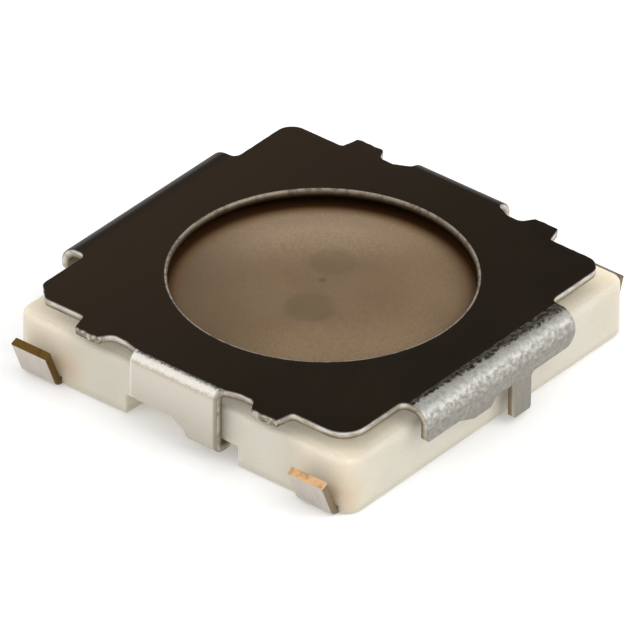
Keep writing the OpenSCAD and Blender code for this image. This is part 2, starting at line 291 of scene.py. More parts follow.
def terminal_side(line, bend, off, first_corner):
    """Corners (x, y, radius) up one terminal side, with x outwards: corner, tab, flap with foot, tab.

    The sheet sits off outwards there, but the flap keeps its own bend line. The first corner is given
    as its cut, how far it starts before the sharp corner, and its radius."""
    board = line + (bend - sheet / 2) * quarter + top_z - bend
    edge, foot = board - crimp_edge_z, board - foot_low - foot_bend
    end = foot + foot_arc + foot_reach
    plate, tab, relief = corner_x + off, tab_x + off, relief_x + off
    cut, corner_r = first_corner
    return [
        (plate - cut, -corner_y, corner_r), (plate, -corner_y + cut, corner_r),
        (plate, -tab_high - root, root), (tab, -tab_high + slant, tab_r), (tab, -tab_low - slant, small),
        (relief, -tab_low + neck, relief_r), (relief, -crimp_half - flap_gap, relief_r),
        (line, -crimp_half, flap_root), (edge, -crimp_half, crimp_corner),
        (edge, foot_in - foot_step, root), (foot, foot_in, root), (end, foot_in, small),
        (end, crimp_half, small), (line, crimp_half, flap_root),
        (relief, crimp_half + flap_gap, relief_r), (relief, tab_low - neck, relief_r),
        (tab, tab_low, small), (tab, tab_high, tab_r), (plate, tab_high + root, root),
    ]


rear_side = terminal_side(rear_line, rear_bend, cover_off, (0.14, 0.2))
front_side = [(-x, -y, r) for x, y, r in terminal_side(front_line, front_bend, -cover_off, (0.21, 0.1))]
print("the sheet ends at x", round(front_side[1][0], 2), "and", round(rear_side[1][0], 2))

# %% Outline of the blank
flank_half, near_corner, far_corner, root_r = 1.31, 0.18, 0.04, 0.09
leg_at, leg_half, leg_fillet, leg_tip = -0.38, 0.15, 0.06, 0.03
lug_at, lug_half, lug_drop, lug_slant = 0.42, 0.33, 0.10, 0.26


def flank_side(corner_r):
    """Corners along one flank, from the lug's end to the leg's end, with y outwards."""
    return [
        (corner_x, corner_y, corner_r),
        (flank_half, corner_y, root_r), (flank_half, flank_edge, far_corner),
        (lug_at + lug_half, flank_edge, small),
        (lug_at + lug_half - lug_slant, flank_edge + lug_drop, 0.08),
        (lug_at - lug_half + lug_drop, flank_edge + lug_drop, 0.06),
        (lug_at - lug_half, flank_edge, small),
        (leg_at + leg_half, flank_edge, leg_fillet), (leg_at + leg_half, leg_end, small),
        (leg_at - leg_half + leg_tip, leg_end, small), (leg_at - leg_half, leg_end - leg_tip, small),
        (leg_at - leg_half, flank_edge, leg_fillet),
        (-flank_half, flank_edge, near_corner), (-flank_half, corner_y, root_r),
    ]


rear_flank = [(cover_off + x, y, r) for x, y, r in flank_side(0.21)]
near_flank = [(cover_off - x, -y, r) for x, y, r in flank_side(0.30)]
outline, outline_out = rounded_outline(rear_side + rear_flank + front_side + near_flank, step=0.03)

opening_r = 1.73
opening_steps = 288
opening_turn = -np.linspace(0, 2 * np.pi, opening_steps, endpoint=False)
opening = opening_r * np.stack([np.cos(opening_turn), np.sin(opening_turn)], -1)
opening_out = -opening / opening_r
print("outline points:", len(outline), "and opening points:", len(opening))

# %% [markdown]
# ## Folding by formula
# A point that lies past a bend line by some run turns about the bend's centre. Its angle is the run
# divided by the bend's middle radius, and it stops at a right angle. What is left of the run goes
# straight down. On the crimped flaps the run may go on round the foot's bend and then inwards under the
# base. Because the formula also takes a height above the middle of the sheet, the outer skin, the inner
# skin and the cut edges all fold by the same few lines.

# %% The fold
no_foot = 9.0  # a fall longer than any flap, so that a flank never reaches a second bend


def bend_chain(run, height, radius, fall, foot_radius):
    """Distance outwards and height of a strip that turns down, falls and turns inwards.

    run is measured along the sheet's middle from the bend line, height is above the middle."""
    middle, foot_middle = radius - sheet / 2, foot_radius - sheet / 2
    first = np.clip(run / middle, 0, quarter)
    past = np.maximum(run - middle * quarter, 0)
    second = np.clip((past - fall) / foot_middle, 0, quarter)
    last = np.maximum(past - fall - foot_middle * quarter, 0)
    out = (middle + height) * np.sin(first) + (foot_middle + height) * (np.cos(second) - 1) - last
    up = (middle + height) * np.cos(first) - middle - np.minimum(past, fall)
    return out, up - (foot_middle + height) * np.sin(second)


def fold(flat, height):
    """Points of the folded cover: each flap's strip turns down past its own bend line."""
    u, v = flat[..., 0], flat[..., 1]
    height = np.broadcast_to(height, u.shape)
    rear = u > 0
    line_x = np.where(rear, rear_line, front_line)
    radius_x = np.where(rear, rear_bend, front_bend)
    fall_x = np.where(rear, rear_fall, front_fall)
    on_x = (np.abs(u) > line_x) & (np.abs(v) < (crimp_half + tab_low) / 2)
    on_y = (np.abs(v) > bend_y) & (np.abs(u - cover_off) < flank_half + small)
    out_x, up_x = bend_chain(np.abs(u) - line_x, height, radius_x, fall_x, foot_bend)
    out_y, up_y = bend_chain(np.abs(v) - bend_y, height, flank_bend, no_foot, foot_bend)
    x = np.where(on_x, np.sign(u) * (line_x + out_x), u)
    y = np.where(on_y, np.sign(v) * (bend_y + out_y), v)
    z = top_z - sheet / 2 + np.where(on_x, up_x, np.where(on_y, up_y, height))
    return np.stack([x, y, z], -1)


leg_spot = np.array([[cover_off + leg_at, leg_end]])
print("a leg's tip folds to", fold(leg_spot, sheet / 2)[0].round(3))

# %% [markdown]
# ## Filling the blank
# The blank has an outer outline and one hole, so it is no simple grid. A constrained Delaunay
# triangulation fills it: it keeps the outlines as edges and joins the points between them into the
# fattest triangles it can. Rows of extra points lie close together where the sheet will bend, so the
# fold comes out round, and further apart where it stays flat.

# %% Points inside the blank


def inside(points, loop):
    """True where a point lies inside the closed loop, by counting the edges that a ray to the right cuts."""
    start, end = loop, np.roll(loop, -1, axis=0)
    spans = (start[:, 1] > points[:, 1:2]) != (end[:, 1] > points[:, 1:2])
    rise = np.where(start[:, 1] == end[:, 1], 1e-12, end[:, 1] - start[:, 1])
    cut = start[:, 0] + (points[:, 1:2] - start[:, 1]) / rise * (end[:, 0] - start[:, 0])
    return (spans & (points[:, :1] < cut)).sum(1) % 2 == 1


def bend_rows(line, arc, steps, half_width):
    """Rows of points from a bend line to the end of its arc, spread evenly across a flap."""
    runs = line + np.linspace(0, arc, steps + 1)
    across = np.linspace(-half_width, half_width, int(2 * half_width / row_gap) + 1)
    return np.stack(np.meshgrid(runs, across, indexing="ij"), -1).reshape(-1, 2)


row_gap, plate_gap, plate_reach = 0.05, 0.16, 2.4
print("the origin lies inside the outline:", bool(inside(np.zeros((1, 2)), outline)[0]))

# %% Points between the outlines
edge_roll, hole_roll = 0.014, 0.030
edge_inset = outline - edge_roll * outline_out
hole_inset = opening - hole_roll * opening_out
inner_half = crimp_half - row_gap
front_rows, rear_rows = (
    np.concatenate([bend_rows(line, arc, steps, inner_half),
                    bend_rows(line + arc + fall, foot_arc, 8, inner_half)])
    for line, arc, fall, steps in ((front_line, front_arc, front_fall, 10),
                                   (rear_line, rear_arc, rear_fall, 12)))
flank_rows = bend_rows(bend_y, flank_arc, 16, flank_half - row_gap)[:, ::-1]
plate_line = np.arange(-plate_reach, plate_reach + 0.01, plate_gap)
plate_mesh = np.stack(np.meshgrid(plate_line, plate_line), -1)
fill = np.concatenate([-front_rows, rear_rows, flank_rows + [cover_off, 0],
                       [cover_off, 0] - flank_rows, plate_mesh.reshape(-1, 2)])
margin = hole_roll + 0.01
in_blank = inside(fill, outline - margin * outline_out)
off_hole = np.hypot(fill[:, 0], fill[:, 1]) > opening_r + margin
fill = fill[in_blank & off_hole]
print("points between the outlines:", len(fill))

# %% Triangles of the blank
blank_points = np.concatenate([edge_inset, hole_inset, fill])
n_edge, n_hole = len(edge_inset), len(hole_inset)


def loop_edges(start, count):
    """Pairs of neighbours round a closed loop."""
    k = np.arange(count)
    return np.stack([start + k, start + (k + 1) % count], -1)


constraints = np.concatenate([loop_edges(0, n_edge), loop_edges(n_edge, n_hole)])
found = delaunay_2d_cdt([tuple(p) for p in blank_points], constraints.tolist(), [], 0, 1e-7)
flat_points = np.array([tuple(p) for p in found[0]])
flat_triangles = np.array(found[2])
place = {old: new for new, olds in enumerate(found[3]) for old in olds}
edge_index = np.array([place[k] for k in range(n_edge)])
hole_index = np.array([place[n_edge + k] for k in range(n_hole)])
centre = flat_points[flat_triangles].mean(1)
kept = inside(centre, edge_inset) & ~inside(centre, hole_inset)
flat_triangles = flat_triangles[kept]
print("triangles on one skin:", len(flat_triangles), "from", len(flat_points), "points")

# %% [markdown]
# ## Cut edges
# A punched edge isn't square. The punch first drags the skin down into a small round, then shears the
# metal, which leaves the lower part slightly torn back. That round is what catches the light as a bright
# line. The section of the edge is a short profile, a distance inwards and a height, and it is carried
# along the outline and folded with it.

# %% Section of a cut edge
burr, fracture = 0.006, 0.004


def edge_section(roll):
    """Profile of a cut edge (distance inwards, height): a round, a sheared straight and a small burr."""
    arc, low_arc = np.linspace(0, quarter, 6), np.linspace(0, quarter, 3)
    return np.concatenate([
        np.stack([roll * (1 - np.sin(arc)), sheet / 2 - roll * (1 - np.cos(arc))], -1),
        [[0.0, 0.0], [fracture, -sheet / 4]],
        np.stack([fracture + burr * (1 - np.cos(low_arc)),
                  -sheet / 2 + burr * (1 - np.sin(low_arc))], -1),
        [[roll, -sheet / 2]]])


print("points in the section of an edge:", len(edge_section(edge_roll)))

# %% Walls between the two skins
ripple_seed = np.random.default_rng(7)


def ripple(count, strength, waves=40):
    """A closed random ripple: a sum of sines with whole numbers of waves and random phases."""
    turn = np.linspace(0, 2 * np.pi, count, endpoint=False)
    number = ripple_seed.integers(20, 260, waves)
    phase = ripple_seed.uniform(0, 2 * np.pi, waves)
    return strength * np.sin(number * turn[:, None] + phase).sum(1) / np.sqrt(waves)


def edge_walls(loop, out, roll, strength):
    """Flat place and height of every wall point: the section, moved inwards from each outline point.

    The ripple's strength is one number, or one for each outline point."""
    shake = ripple(len(loop), 1.0) * strength
    section = edge_section(roll)
    inward = section[:, :1] + shake * (section[:, :1] < roll - 1e-9)
    flat = loop[None] - inward[..., None] * out[None]
    height = np.broadcast_to(section[:, 1:], flat.shape[:2])
    return flat, height


def add_walls(loop, out, roll, top_index, bottom_index, first, strength):
    """Points between the two skins along one loop, and the quads that join them to both skins."""
    flat, height = edge_walls(loop, out, roll, strength)
    inner_flat, inner_height = flat[1:-1], height[1:-1]
    rows, cols = inner_flat.shape[:2]
    index = first + np.arange(rows * cols).reshape(rows, cols)
    index = np.concatenate([top_index[None], index, bottom_index[None]])
    near, far = index[:-1], index[1:]
    quads = np.stack([near, far, np.roll(far, -1, 1), np.roll(near, -1, 1)], -1).reshape(-1, 4)
    return inner_flat.reshape(-1, 2), inner_height.ravel(), quads


print("walls shake by a seeded ripple")

# %% Two skins and two walls
n_skin = len(flat_points)
torn, clean, roll_share = 0.007, 0.0015, 0.16
at_tab_end = np.abs(outline[:, 0] - cover_off) > tab_x - root
at_tab_end &= (np.abs(outline[:, 1]) > tab_low - slant) & (np.abs(outline[:, 1]) < tab_high + slant)
edge_flat, edge_height, edge_quads = add_walls(
    outline, outline_out, edge_roll, edge_index, edge_index + n_skin, 2 * n_skin,
    np.where(at_tab_end, torn, clean))
hole_flat, hole_height, hole_quads = add_walls(
    opening, opening_out, hole_roll, hole_index, hole_index + n_skin, 2 * n_skin + len(edge_flat), clean)
print("quads on the outer and the inner wall:", len(edge_quads), len(hole_quads))

# %% The folded cover
all_flat = np.concatenate([flat_points, flat_points, edge_flat, hole_flat])
all_height = np.concatenate([np.full(n_skin, sheet / 2), np.full(n_skin, -sheet / 2),
                             edge_height, hole_height])
cover_points = fold(all_flat, all_height)
cover_faces = [*flat_triangles.tolist(), *(flat_triangles[:, ::-1] + n_skin).tolist(),
               *edge_quads.tolist(), *hole_quads.tolist()]
depth = (sheet / 2 - all_height) / sheet
on_wall = np.arange(len(all_flat)) >= 2 * n_skin
on_hole_wall = np.arange(len(all_flat)) >= 2 * n_skin + len(edge_flat)
cut_edge = np.where(on_wall, np.where(on_hole_wall, 1, np.clip(depth / roll_share, 0, 1)), 0)
BLANK_SPAN = 8.0
cover = make_piece("cover_sheet", cover_points, cover_faces, {"cut_edge": cut_edge, "depth": depth},
                   uv=all_flat / BLANK_SPAN + 0.5, smooth_angle=50)
even_normals(cover)
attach(cover, "casing")
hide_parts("cover")

# %% [markdown]
# ## The moulded base
# The base is one solid of ivory resin. Going from the middle of its underside round the outside and
# back to the middle of the well's floor, its section is one line, and each point of that line runs once
# round the base as a rounded rectangle or a circle. So the base is a grid: one direction goes round, the
# other goes along the section. Where a crimped foot hooks under the base, the section has a notch.
# There the columns of the grid follow a second section, and the two differ only in the lower part. On
# the flat underside the plain columns beside a notch start as far in as the notched ones, and less and
# less far towards the corners, so that neighbours never cross.

# %% Columns round the base
wall_corner = 0.20
straight_x, straight_y = half_x - wall_corner, half_y - wall_corner
notch_half, notch_slope = 0.8, 0.012
side_steps, corner_steps = 60, 13


def side_places(half, extra=()):
    """Places along one side from one end to the other, with extra places squeezed in."""
    return np.unique(np.concatenate([np.linspace(-half, half, side_steps), *map(np.atleast_1d, extra)]))


notch_places = np.array([-notch_half - notch_slope, -notch_half + notch_slope,
                         notch_half - notch_slope, notch_half + notch_slope])
along_y = side_places(straight_y, [notch_places]) / straight_y
along_x = side_places(straight_x) / straight_x
turns = np.linspace(0, quarter, corner_steps)[1:-1]
print("columns on a long side and a short side:", len(along_y), len(along_x))

# %% Corner and side columns


def corner_columns(x, y, start):
    """Columns on one round corner: a fixed skeleton corner, and a direction that turns a quarter."""
    angle = start + turns
    return np.stack([np.full_like(angle, x), np.full_like(angle, y), np.cos(angle), np.sin(angle)], -1)


def side_columns(places, x, y, nx, ny):
    """Columns on one side: the skeleton place moves along the side, and the direction stays."""
    sweep = places if ny == 0 else -places
    sweep = sweep * (1 if nx + ny > 0 else -1)
    one = np.ones_like(sweep)
    return np.stack([one * x if ny == 0 else sweep, one * y if nx == 0 else sweep, one * nx, one * ny], -1)


columns = np.concatenate([
    side_columns(along_y, 1, 0, 1, 0), corner_columns(1, 1, 0),
    side_columns(along_x, 0, 1, 0, 1), corner_columns(-1, 1, quarter),
    side_columns(along_y, -1, 0, -1, 0), corner_columns(-1, -1, 2 * quarter),
    side_columns(along_x, 0, -1, 0, -1), corner_columns(1, -1, 3 * quarter)])
skeleton, facing = columns[:, :2], columns[:, 2:]
outer_ring = skeleton * [straight_x, straight_y] + wall_corner * facing
column_angle = np.arctan2(outer_ring[:, 1], outer_ring[:, 0])
straight = 0.999
notched = (np.abs(facing[:, 0]) > straight) & (np.abs(outer_ring[:, 1]) < notch_half)
print("columns round the base:", len(columns), "of which notched:", int(notched.sum()))

# %% Sections of the base
soft, crisp = 0.06, 0.035
notch_deep, notch_top = 0.35, undercut_h
well_r, floor_z, recess_r = 1.70, 0.42, 1.92
seat_x, seat_y, seat_corner = 2.07, 2.07, 0.4


def bow(corner, start, radius, inwards, parts=5):
    """Quarter-round points (inset, height) about a corner's centre, from one direction to the next."""
    angle = start + inwards * np.linspace(0, quarter, parts)
    return corner + radius * np.stack([-np.cos(angle), np.sin(angle)], -1)


def stretch(first, last, parts):
    """Evenly spaced points between two points, without the first and the last."""
    share = (np.arange(parts) + 1)[:, None] / (parts + 1)
    return np.array(first) + (np.array(last) - np.array(first)) * share


print("a bow has", len(bow(np.zeros(2), 0, crisp, 1)), "points")

# %% The plain, the notched and the upper section
deep, notch_deepest, flat_rows = 0.18, 0.55, 4
plain_low = np.concatenate([
    [[deep, 0.0]], stretch((deep, 0), (crisp, 0), 3), bow(np.array([crisp, crisp]), -quarter, crisp, 1),
    stretch((0, crisp), (0, notch_top + crisp), 16), [[0.0, notch_top + crisp]]])
notch_low = np.concatenate([
    [[notch_deepest, 0.0]], stretch((notch_deepest, 0), (notch_deep + crisp, 0), 3),
    bow(np.array([notch_deep + crisp, crisp]), -quarter, crisp, 1),
    stretch((notch_deep, crisp), (notch_deep, notch_top - crisp), 4),
    bow(np.array([notch_deep - crisp, notch_top - crisp]), 2 * quarter, crisp, -1),
    stretch((notch_deep - crisp, notch_top), (crisp, notch_top), 3),
    bow(np.array([crisp, notch_top + crisp]), -quarter, crisp, 1)])
upper = np.concatenate([
    stretch((0, notch_top + crisp), (0, base_h - soft), 6),
    bow(np.array([soft, base_h - soft]), 0, soft, 1, parts=7)])
print("rows of the two lower sections:", len(plain_low), len(notch_low))

# %% Three kinds of ring


def rect_ring(inset, z):
    """The outer outline moved inwards: the skeleton stays and only the corner radius shrinks."""
    inset = np.broadcast_to(inset, len(columns))
    radius = wall_corner - inset
    ring = skeleton * [straight_x, straight_y] + radius[:, None] * facing
    return np.column_stack([ring, np.broadcast_to(z, len(columns))])


def free_ring(x, y, corner, z):
    """A rounded rectangle of its own size, on the same columns."""
    ring = skeleton * [x - corner, y - corner] + corner * facing
    return np.column_stack([ring, np.full(len(columns), z)])


def round_ring(radius, z):
    """A circle, on which each column keeps its direction from the middle."""
    ring = radius * np.stack([np.cos(column_angle), np.sin(column_angle)], -1)
    return np.column_stack([ring, np.full(len(columns), z)])


print("a ring has", len(round_ring(well_r, floor_z)), "points")

# %% Rows beside the notches
lower_rows = np.where(notched[None, :, None], notch_low[:, None], plain_low[:, None])
beside_end, beside_fade = 1.9, 0.8
beside = np.clip((beside_end - np.abs(outer_ring[:, 1])) / beside_fade, 0, 1)
beside = beside * (np.abs(facing[:, 0]) > straight)
first_inset = deep + (notch_deepest - deep) * beside
still_to_go = 1 - np.arange(flat_rows)[:, None] / flat_rows
flat_inset = crisp + (first_inset - crisp) * still_to_go
lower_rows[:flat_rows, :, 0] = np.where(notched, lower_rows[:flat_rows, :, 0], flat_inset)
print("the first row starts", round(first_inset.min(), 2), "to", round(first_inset.max(), 2), "mm in")

# %% All rings of the base
seat_edge, seat_foot = 0.02, 0.03
rings = [round_ring(0, 0), round_ring(0.7, 0), round_ring(1.4, 0)]
rings += [rect_ring(row[:, 0], row[:, 1]) for row in lower_rows]
rings += [rect_ring(inset, z) for inset, z in upper]
rings += [free_ring(seat_x + seat_foot, seat_y + seat_foot, seat_corner, base_h),
          free_ring(seat_x, seat_y, seat_corner, base_h + seat_foot),
          free_ring(seat_x, seat_y, seat_corner, seat_z - seat_edge),
          free_ring(seat_x - seat_edge, seat_y - seat_edge, seat_corner - seat_edge, seat_z),
          round_ring(recess_r + seat_edge, seat_z), round_ring(recess_r, seat_z - seat_edge),
          round_ring(recess_r, base_h), round_ring(well_r + seat_edge, base_h),
          round_ring(well_r, base_h - seat_edge), round_ring(well_r, floor_z),
          round_ring(well_r / 2, floor_z), round_ring(0, floor_z)]
base_points = np.concatenate(rings)
base = make_piece("moulded_base", base_points,
                  grid_faces(len(rings), len(columns), close_cols=True).tolist(), smooth_angle=40)

# %% [markdown]
# ## Cuts in the underside
# The underside has four round wells, left by the pins that hold the contacts while the resin flows in,
# and four slots in which the soldering faces lie flush. They cut straight through one face, so a
# Boolean modifier does it best: each cutter is a closed prism that runs a little past the face, and the
# modifier is applied at once, so that the piece ends as one plain mesh.

# %% Cutters
pin_well_r, pin_well_h = 0.25, 0.33
contact_t, solder_from, rear_in = 0.1, 2.05, 0.07


def circle(steps):
    """Points of a circle of radius one, counter-clockwise."""
    turn = np.linspace(0, 2 * np.pi, steps, endpoint=False)
    return np.stack([np.cos(turn), np.sin(turn)], -1)


def prism(name, loop, low, high):
    """A closed prism: the loop at two heights, with both ends closed by one face."""
    count = len(loop)
    ends = [np.column_stack([loop, np.full(count, z)]) for z in (low, high)]
    sides = grid_faces(2, count, close_cols=True).tolist()
    caps = [list(range(count))[::-1], list(range(count, 2 * count))]
    return make_piece(name, np.concatenate(ends), sides + caps)


slot_loop = np.array([[-1, -1], [1, -1], [1, 1], [-1, 1]]) * 0.5
ring_middle, slot_long, below_face = 1.6, 0.8, -0.2
cutters = [prism("cutter", circle(48) * pin_well_r + spot, below_face, pin_well_h)
           for spot in ([0, -ring_middle / 2], [-ring_middle, 0], [ring_middle, 0], [0, ring_middle])]
for side in (-1, 1):
    for row in (-1, 1):
        row_y = row * (terminal_y - (rear_in if side > 0 else 0))
        spot = [side * (solder_from + slot_long / 2), row_y]
        cutters.append(prism("cutter", slot_loop * [slot_long, terminal_w] + spot, below_face, contact_t))

# %% The cut


def cut_away(piece, tools):
    """Applies one Boolean difference for each tool, then removes the tools."""
    for tool in tools:
        cut = piece.modifiers.new("cut", "BOOLEAN")
        cut.object, cut.operation, cut.solver = tool, "DIFFERENCE", "EXACT"
    done = bpy.data.meshes.new_from_object(piece.evaluated_get(bpy.context.evaluated_depsgraph_get()))
    piece.modifiers.clear()
    piece.data = done
    for tool in tools:
        bpy.data.objects.remove(tool)
    done.set_sharp_from_angle(angle=np.radians(40))
    print(piece.name, "after the cuts:", len(done.polygons), "faces")


cut_away(base, cutters)
even_normals(base)
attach(base, "casing")
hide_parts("base")

# %% [markdown]
# ## Contacts with their soldering ends
# Each contact is cut from one sheet: a strip crosses the base, steps down at both ends to a soldering
# face, and turns up outside the wall. The strip is a rounded rectangle carried along that path. The
# frame of the section comes from the path's own direction, so the width always lies along Y and the
# thickness across the path. Where two parts of one contact overlap, the hidden one is thinner by two
# thousandths on each skin, because two skins in one place would flicker.

# %% Strip along the path of a terminal pair
floor_t = floor_z - contact_t
step_in, terminal_bend, terminal_tip = 1.83, 0.13, 0.42
front_slope, rear_slope = np.radians(67), np.radians(72)
edge_round = 0.014


def strip_path(slope):
    """Middle line of the strip in x and z, from the middle of the base to the tip of one end."""
    mid = contact_t / 2
    bend_mid = terminal_bend - mid
    corner_run = bend_mid * np.tan(slope / 2)
    turn = np.array([half_x + corner_run, mid])
    tip = turn + (corner_run + terminal_tip) * np.array([np.cos(slope), np.sin(slope)])
    corners = [(0, floor_z - mid, 0), (step_in, floor_z - mid, 0.08), (solder_from, mid, 0.08),
               (*turn, bend_mid), (*tip, 0)]
    return rounded_outline(corners, step=0.1, closed=False)


def strip_section(half_w, half_t, step):
    """Rounded rectangle of a strip: places across the width and across the thickness."""
    corners = [(-half_w, -half_t), (half_w, -half_t), (half_w, half_t), (-half_w, half_t)]
    return rounded_outline([(*corner, edge_round) for corner in corners], step)[0]


front_path, front_out = strip_path(front_slope)
rear_path, rear_out = strip_path(rear_slope)
mirror = np.array([-1.0, 1.0])
path = np.concatenate([front_path[::-1] * mirror, rear_path[1:]])
path_out = np.concatenate([front_out[::-1] * mirror, rear_out[1:]])
run = np.concatenate([[0], np.cumsum(np.hypot(*np.diff(path, axis=0).T))])
to_tip = np.minimum(run, run[-1] - run)
section = strip_section(terminal_w / 2, contact_t / 2, step=0.12)
print("strip path of", len(path), "points, section of", len(section))

# %% Points and faces of a strip


def strip_points(y):
    """Grid of the strip: at each path point the section stands across the path, centred on y.

    Inside the base the strip drifts a little towards the middle, so its rear end stands nearer to it."""
    x = path[:, None, 0] + path_out[:, None, 0] * section[None, :, 1]
    z = path[:, None, 1] + path_out[:, None, 1] * section[None, :, 1]
    drift = -np.sign(y) * rear_in * np.clip((path[:, :1] + step_in) / (2 * step_in), 0, 1)
    return np.stack([x, y + drift + section[:, 0], z], -1)


def capped_faces(rows, cols, start=0):
    """Quads of a tube and one face on each end."""
    quads = grid_faces(rows, cols, close_cols=True, start=start).tolist()
    first = list(range(start, start + cols))
    last = list(range(start + (rows - 1) * cols, start + rows * cols))
    return quads + [first[::-1], last]


print("one strip has", len(path) * len(section), "points")

# %% Plates and the open ring
ring_out, ring_in = 1.85, 1.35
ring_stop = 1.53
ring_end = np.arccos(ring_stop / ring_out)
arm_half, arm_r, boss_foot = 0.25, 0.02, 0.05
boss_r, boss_top = 0.45, 0.52
skin_gap = 0.002


def slab(loop, out, low, high):
    """A flat plate from an outline and its outward directions, with small rounds on both edges."""
    levels = [(edge_round, low), (0, low + edge_round), (0, high - edge_round), (edge_round, high)]
    rings = [np.column_stack([loop - inset * out, np.full(len(loop), z)]) for inset, z in levels]
    return np.stack(rings)


def ring_plate():
    """The open ring as a section, four corners wide, that is carried round from one end to the other."""
    angle = np.linspace(-quarter + ring_end, 3 * quarter - ring_end, 121)
    mid, half_w, half_t = (ring_out + ring_in) / 2, (ring_out - ring_in) / 2, contact_t / 2 - skin_gap
    loop = strip_section(half_w, half_t, step=0.2)
    radius = mid + loop[None, :, 0]
    x, y = radius * np.cos(angle)[:, None], radius * np.sin(angle)[:, None]
    return np.stack([x, y, np.broadcast_to(floor_z - half_t + loop[:, 1], x.shape)], -1)


print("the open ring has", ring_plate().shape[0], "sections")

# %% Arm, hub and boss


def joined(parts):
    """One set of points and faces from several capped tubes, each with its own faces outwards."""
    points, faces, start = [], [], 0
    for part in parts:
        rows, cols = part.shape[:2]
        spots = part.reshape(-1, 3)
        shell = capped_faces(rows, cols)
        fans = np.array([[f[0], f[k], f[k + 1]] for f in shell for k in range(1, len(f) - 1)])
        inward = signed_volume(spots, fans) < 0
        faces += [[start + k for k in (f[::-1] if inward else f)] for f in shell]
        points.append(spots)
        start += rows * cols
    return np.concatenate(points), faces


arm = rounded_outline([(-arm_half, -terminal_y, arm_r), (arm_half, -terminal_y, arm_r),
                       (arm_half, 0, arm_r), (-arm_half, 0, arm_r)], step=0.2)
arm_plate = slab(*arm, floor_t + skin_gap, floor_z - skin_gap)
disc = circle(64)
hub = slab((boss_r + contact_t) * disc, disc, floor_t + 2 * skin_gap, floor_z - 2 * skin_gap)
boss = slab(boss_r * disc, disc, floor_z - boss_foot, boss_top)
print("the boss stands", round(boss_top - floor_z, 2), "mm above the floor")

# %% The two contacts
contact_parts = {
    "contact_front_strip": ("centre_contact", [strip_points(-terminal_y), arm_plate, hub, boss]),
    "contact_rear_strip": ("outer_contact", [strip_points(terminal_y), ring_plate()]),
}
contacts = {}
for name, (node, parts) in contact_parts.items():
    points, faces = joined(parts)
    tip_runs = np.ones(len(points))
    tip_runs[:len(path) * len(section)] = np.repeat(to_tip, len(section))
    contact = make_piece(name, points, faces, {"to_tip": tip_runs}, smooth_angle=50)
    even_normals(contact)
    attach(contact, "casing")
    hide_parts(node)
    contacts[name] = contact

# %% [markdown]
# ## The film
# The film is a thin disc, bonded to the base's ledge and held up in the middle by the pusher. Its rise
# is flat over the pusher and falls as half a cosine wave to the ledge. On top of that come three shallow
# marks that the photograph shows: a small dent in the middle and two round heat marks beside it.

# %% Film as a surface of revolution with marks
film_flat_r, film_t = 0.95, 0.04
film_radii = np.concatenate([np.linspace(0, 0.2, 14), np.linspace(0.24, film_flat_r, 26),
                             np.linspace(film_flat_r + 0.04, well_r, 24), [1.78, 1.86, film_edge_r - 0.008]])
film_circle = circle(240)
marks = [(-0.52, -0.24, 0.30, 0.0022), (0.35, 0.14, 0.28, 0.0016)]
dent_depth, dent_wide, mark_border = 0.006, 0.035, 0.02


def film_rise(radius):
    """Height of the film's underside above the ledge: flat, then half a cosine wave down to nothing."""
    share = np.clip((radius - film_flat_r) / (well_r - film_flat_r), 0, 1)
    return (film_top - ledge_z - film_t) * (1 + np.cos(np.pi * share)) / 2


def film_marks(x, y):
    """Depth of the marks: a bell-shaped dent in the middle, and two round flats with soft borders."""
    depth = dent_depth * np.exp(-(x ** 2 + y ** 2) / (2 * dent_wide ** 2))
    for mark_x, mark_y, mark_r, mark_depth in marks:
        away = np.hypot(x - mark_x, y - mark_y)
        depth = depth + mark_depth / (1 + np.exp((away - mark_r) / mark_border))
    return depth


def film_skin(height):
    """One side of the film: a ring of points for each radius, at the rise plus a height."""
    x, y = film_radii[:, None] * film_circle[:, 0], film_radii[:, None] * film_circle[:, 1]
    z = ledge_z + height + film_rise(film_radii)[:, None] - film_marks(x, y)
    return np.stack([x, y, z], -1)


print("film: rise", round(film_rise(0.0), 3), "mm, and its dent", round(film_marks(0, 0), 4), "mm deep")

# %% The film's two sides and its rim
film_rim = np.column_stack([film_edge_r * film_circle,
                            np.full(len(film_circle), ledge_z + film_t / 2)])[None]
film_grid = np.concatenate([film_skin(film_t), film_rim, film_skin(0)[::-1]])
film = make_piece("cover_film", film_grid.reshape(-1, 3),
                  grid_faces(*film_grid.shape[:2], close_cols=True).tolist())
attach(film, "casing")
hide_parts("protective_film")

# %% [markdown]
# ## Pieces under the press
# Only the pusher slides. The film above it and the two snap domes below it give way towards the plane
# that holds them. Here each of them only gets a mesh of its own, and nothing is flattened. The share that
# would be left of each follows from the travel: what stood over the plane before, less the travel,
# divided by what stood there before.

# %% Own meshes, and the share left at full travel
press = next(joint for joint in frame["joints"] if joint["name"] == "press")
travel = press["range_m"][1] / MM
down = (0, 0, 1)
film_keep = (film_top - film_t - ledge_z - travel) / (film_top - film_t - ledge_z)
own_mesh(film)
for node in dome_low:
    stood = dome_high[node] - dome_low[node]
    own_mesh(frame["nodes"][node], "press", axis=down, anchor=(0, 0, dome_low[node] * MM),
              keep=(stood - travel) / stood)
print("share of the film's rise left at full travel:", round(film_keep, 3))

# %% [markdown]
# ## Arithmetic that becomes nodes
# A material is a tree of nodes, and most of its nodes are small sums: add, multiply, take the larger.
# Written as nodes they hide the thought behind them. So a small class stands for anything that changes
# over the surface, such as a coordinate, a mask or a colour. Where Python adds or multiplies two of
# them, the class adds the Math node that does the same.

# %% Fields over the surface


def add_node(tree, kind, values=None, **options):
    """A shader node with its options set and its unlinked inputs filled in by name or number."""
    node = tree.nodes.new(kind)
    for key, value in options.items():
        setattr(node, key, value)
    for key, value in (values or {}).items():
        node.inputs[key].default_value = value
    return node


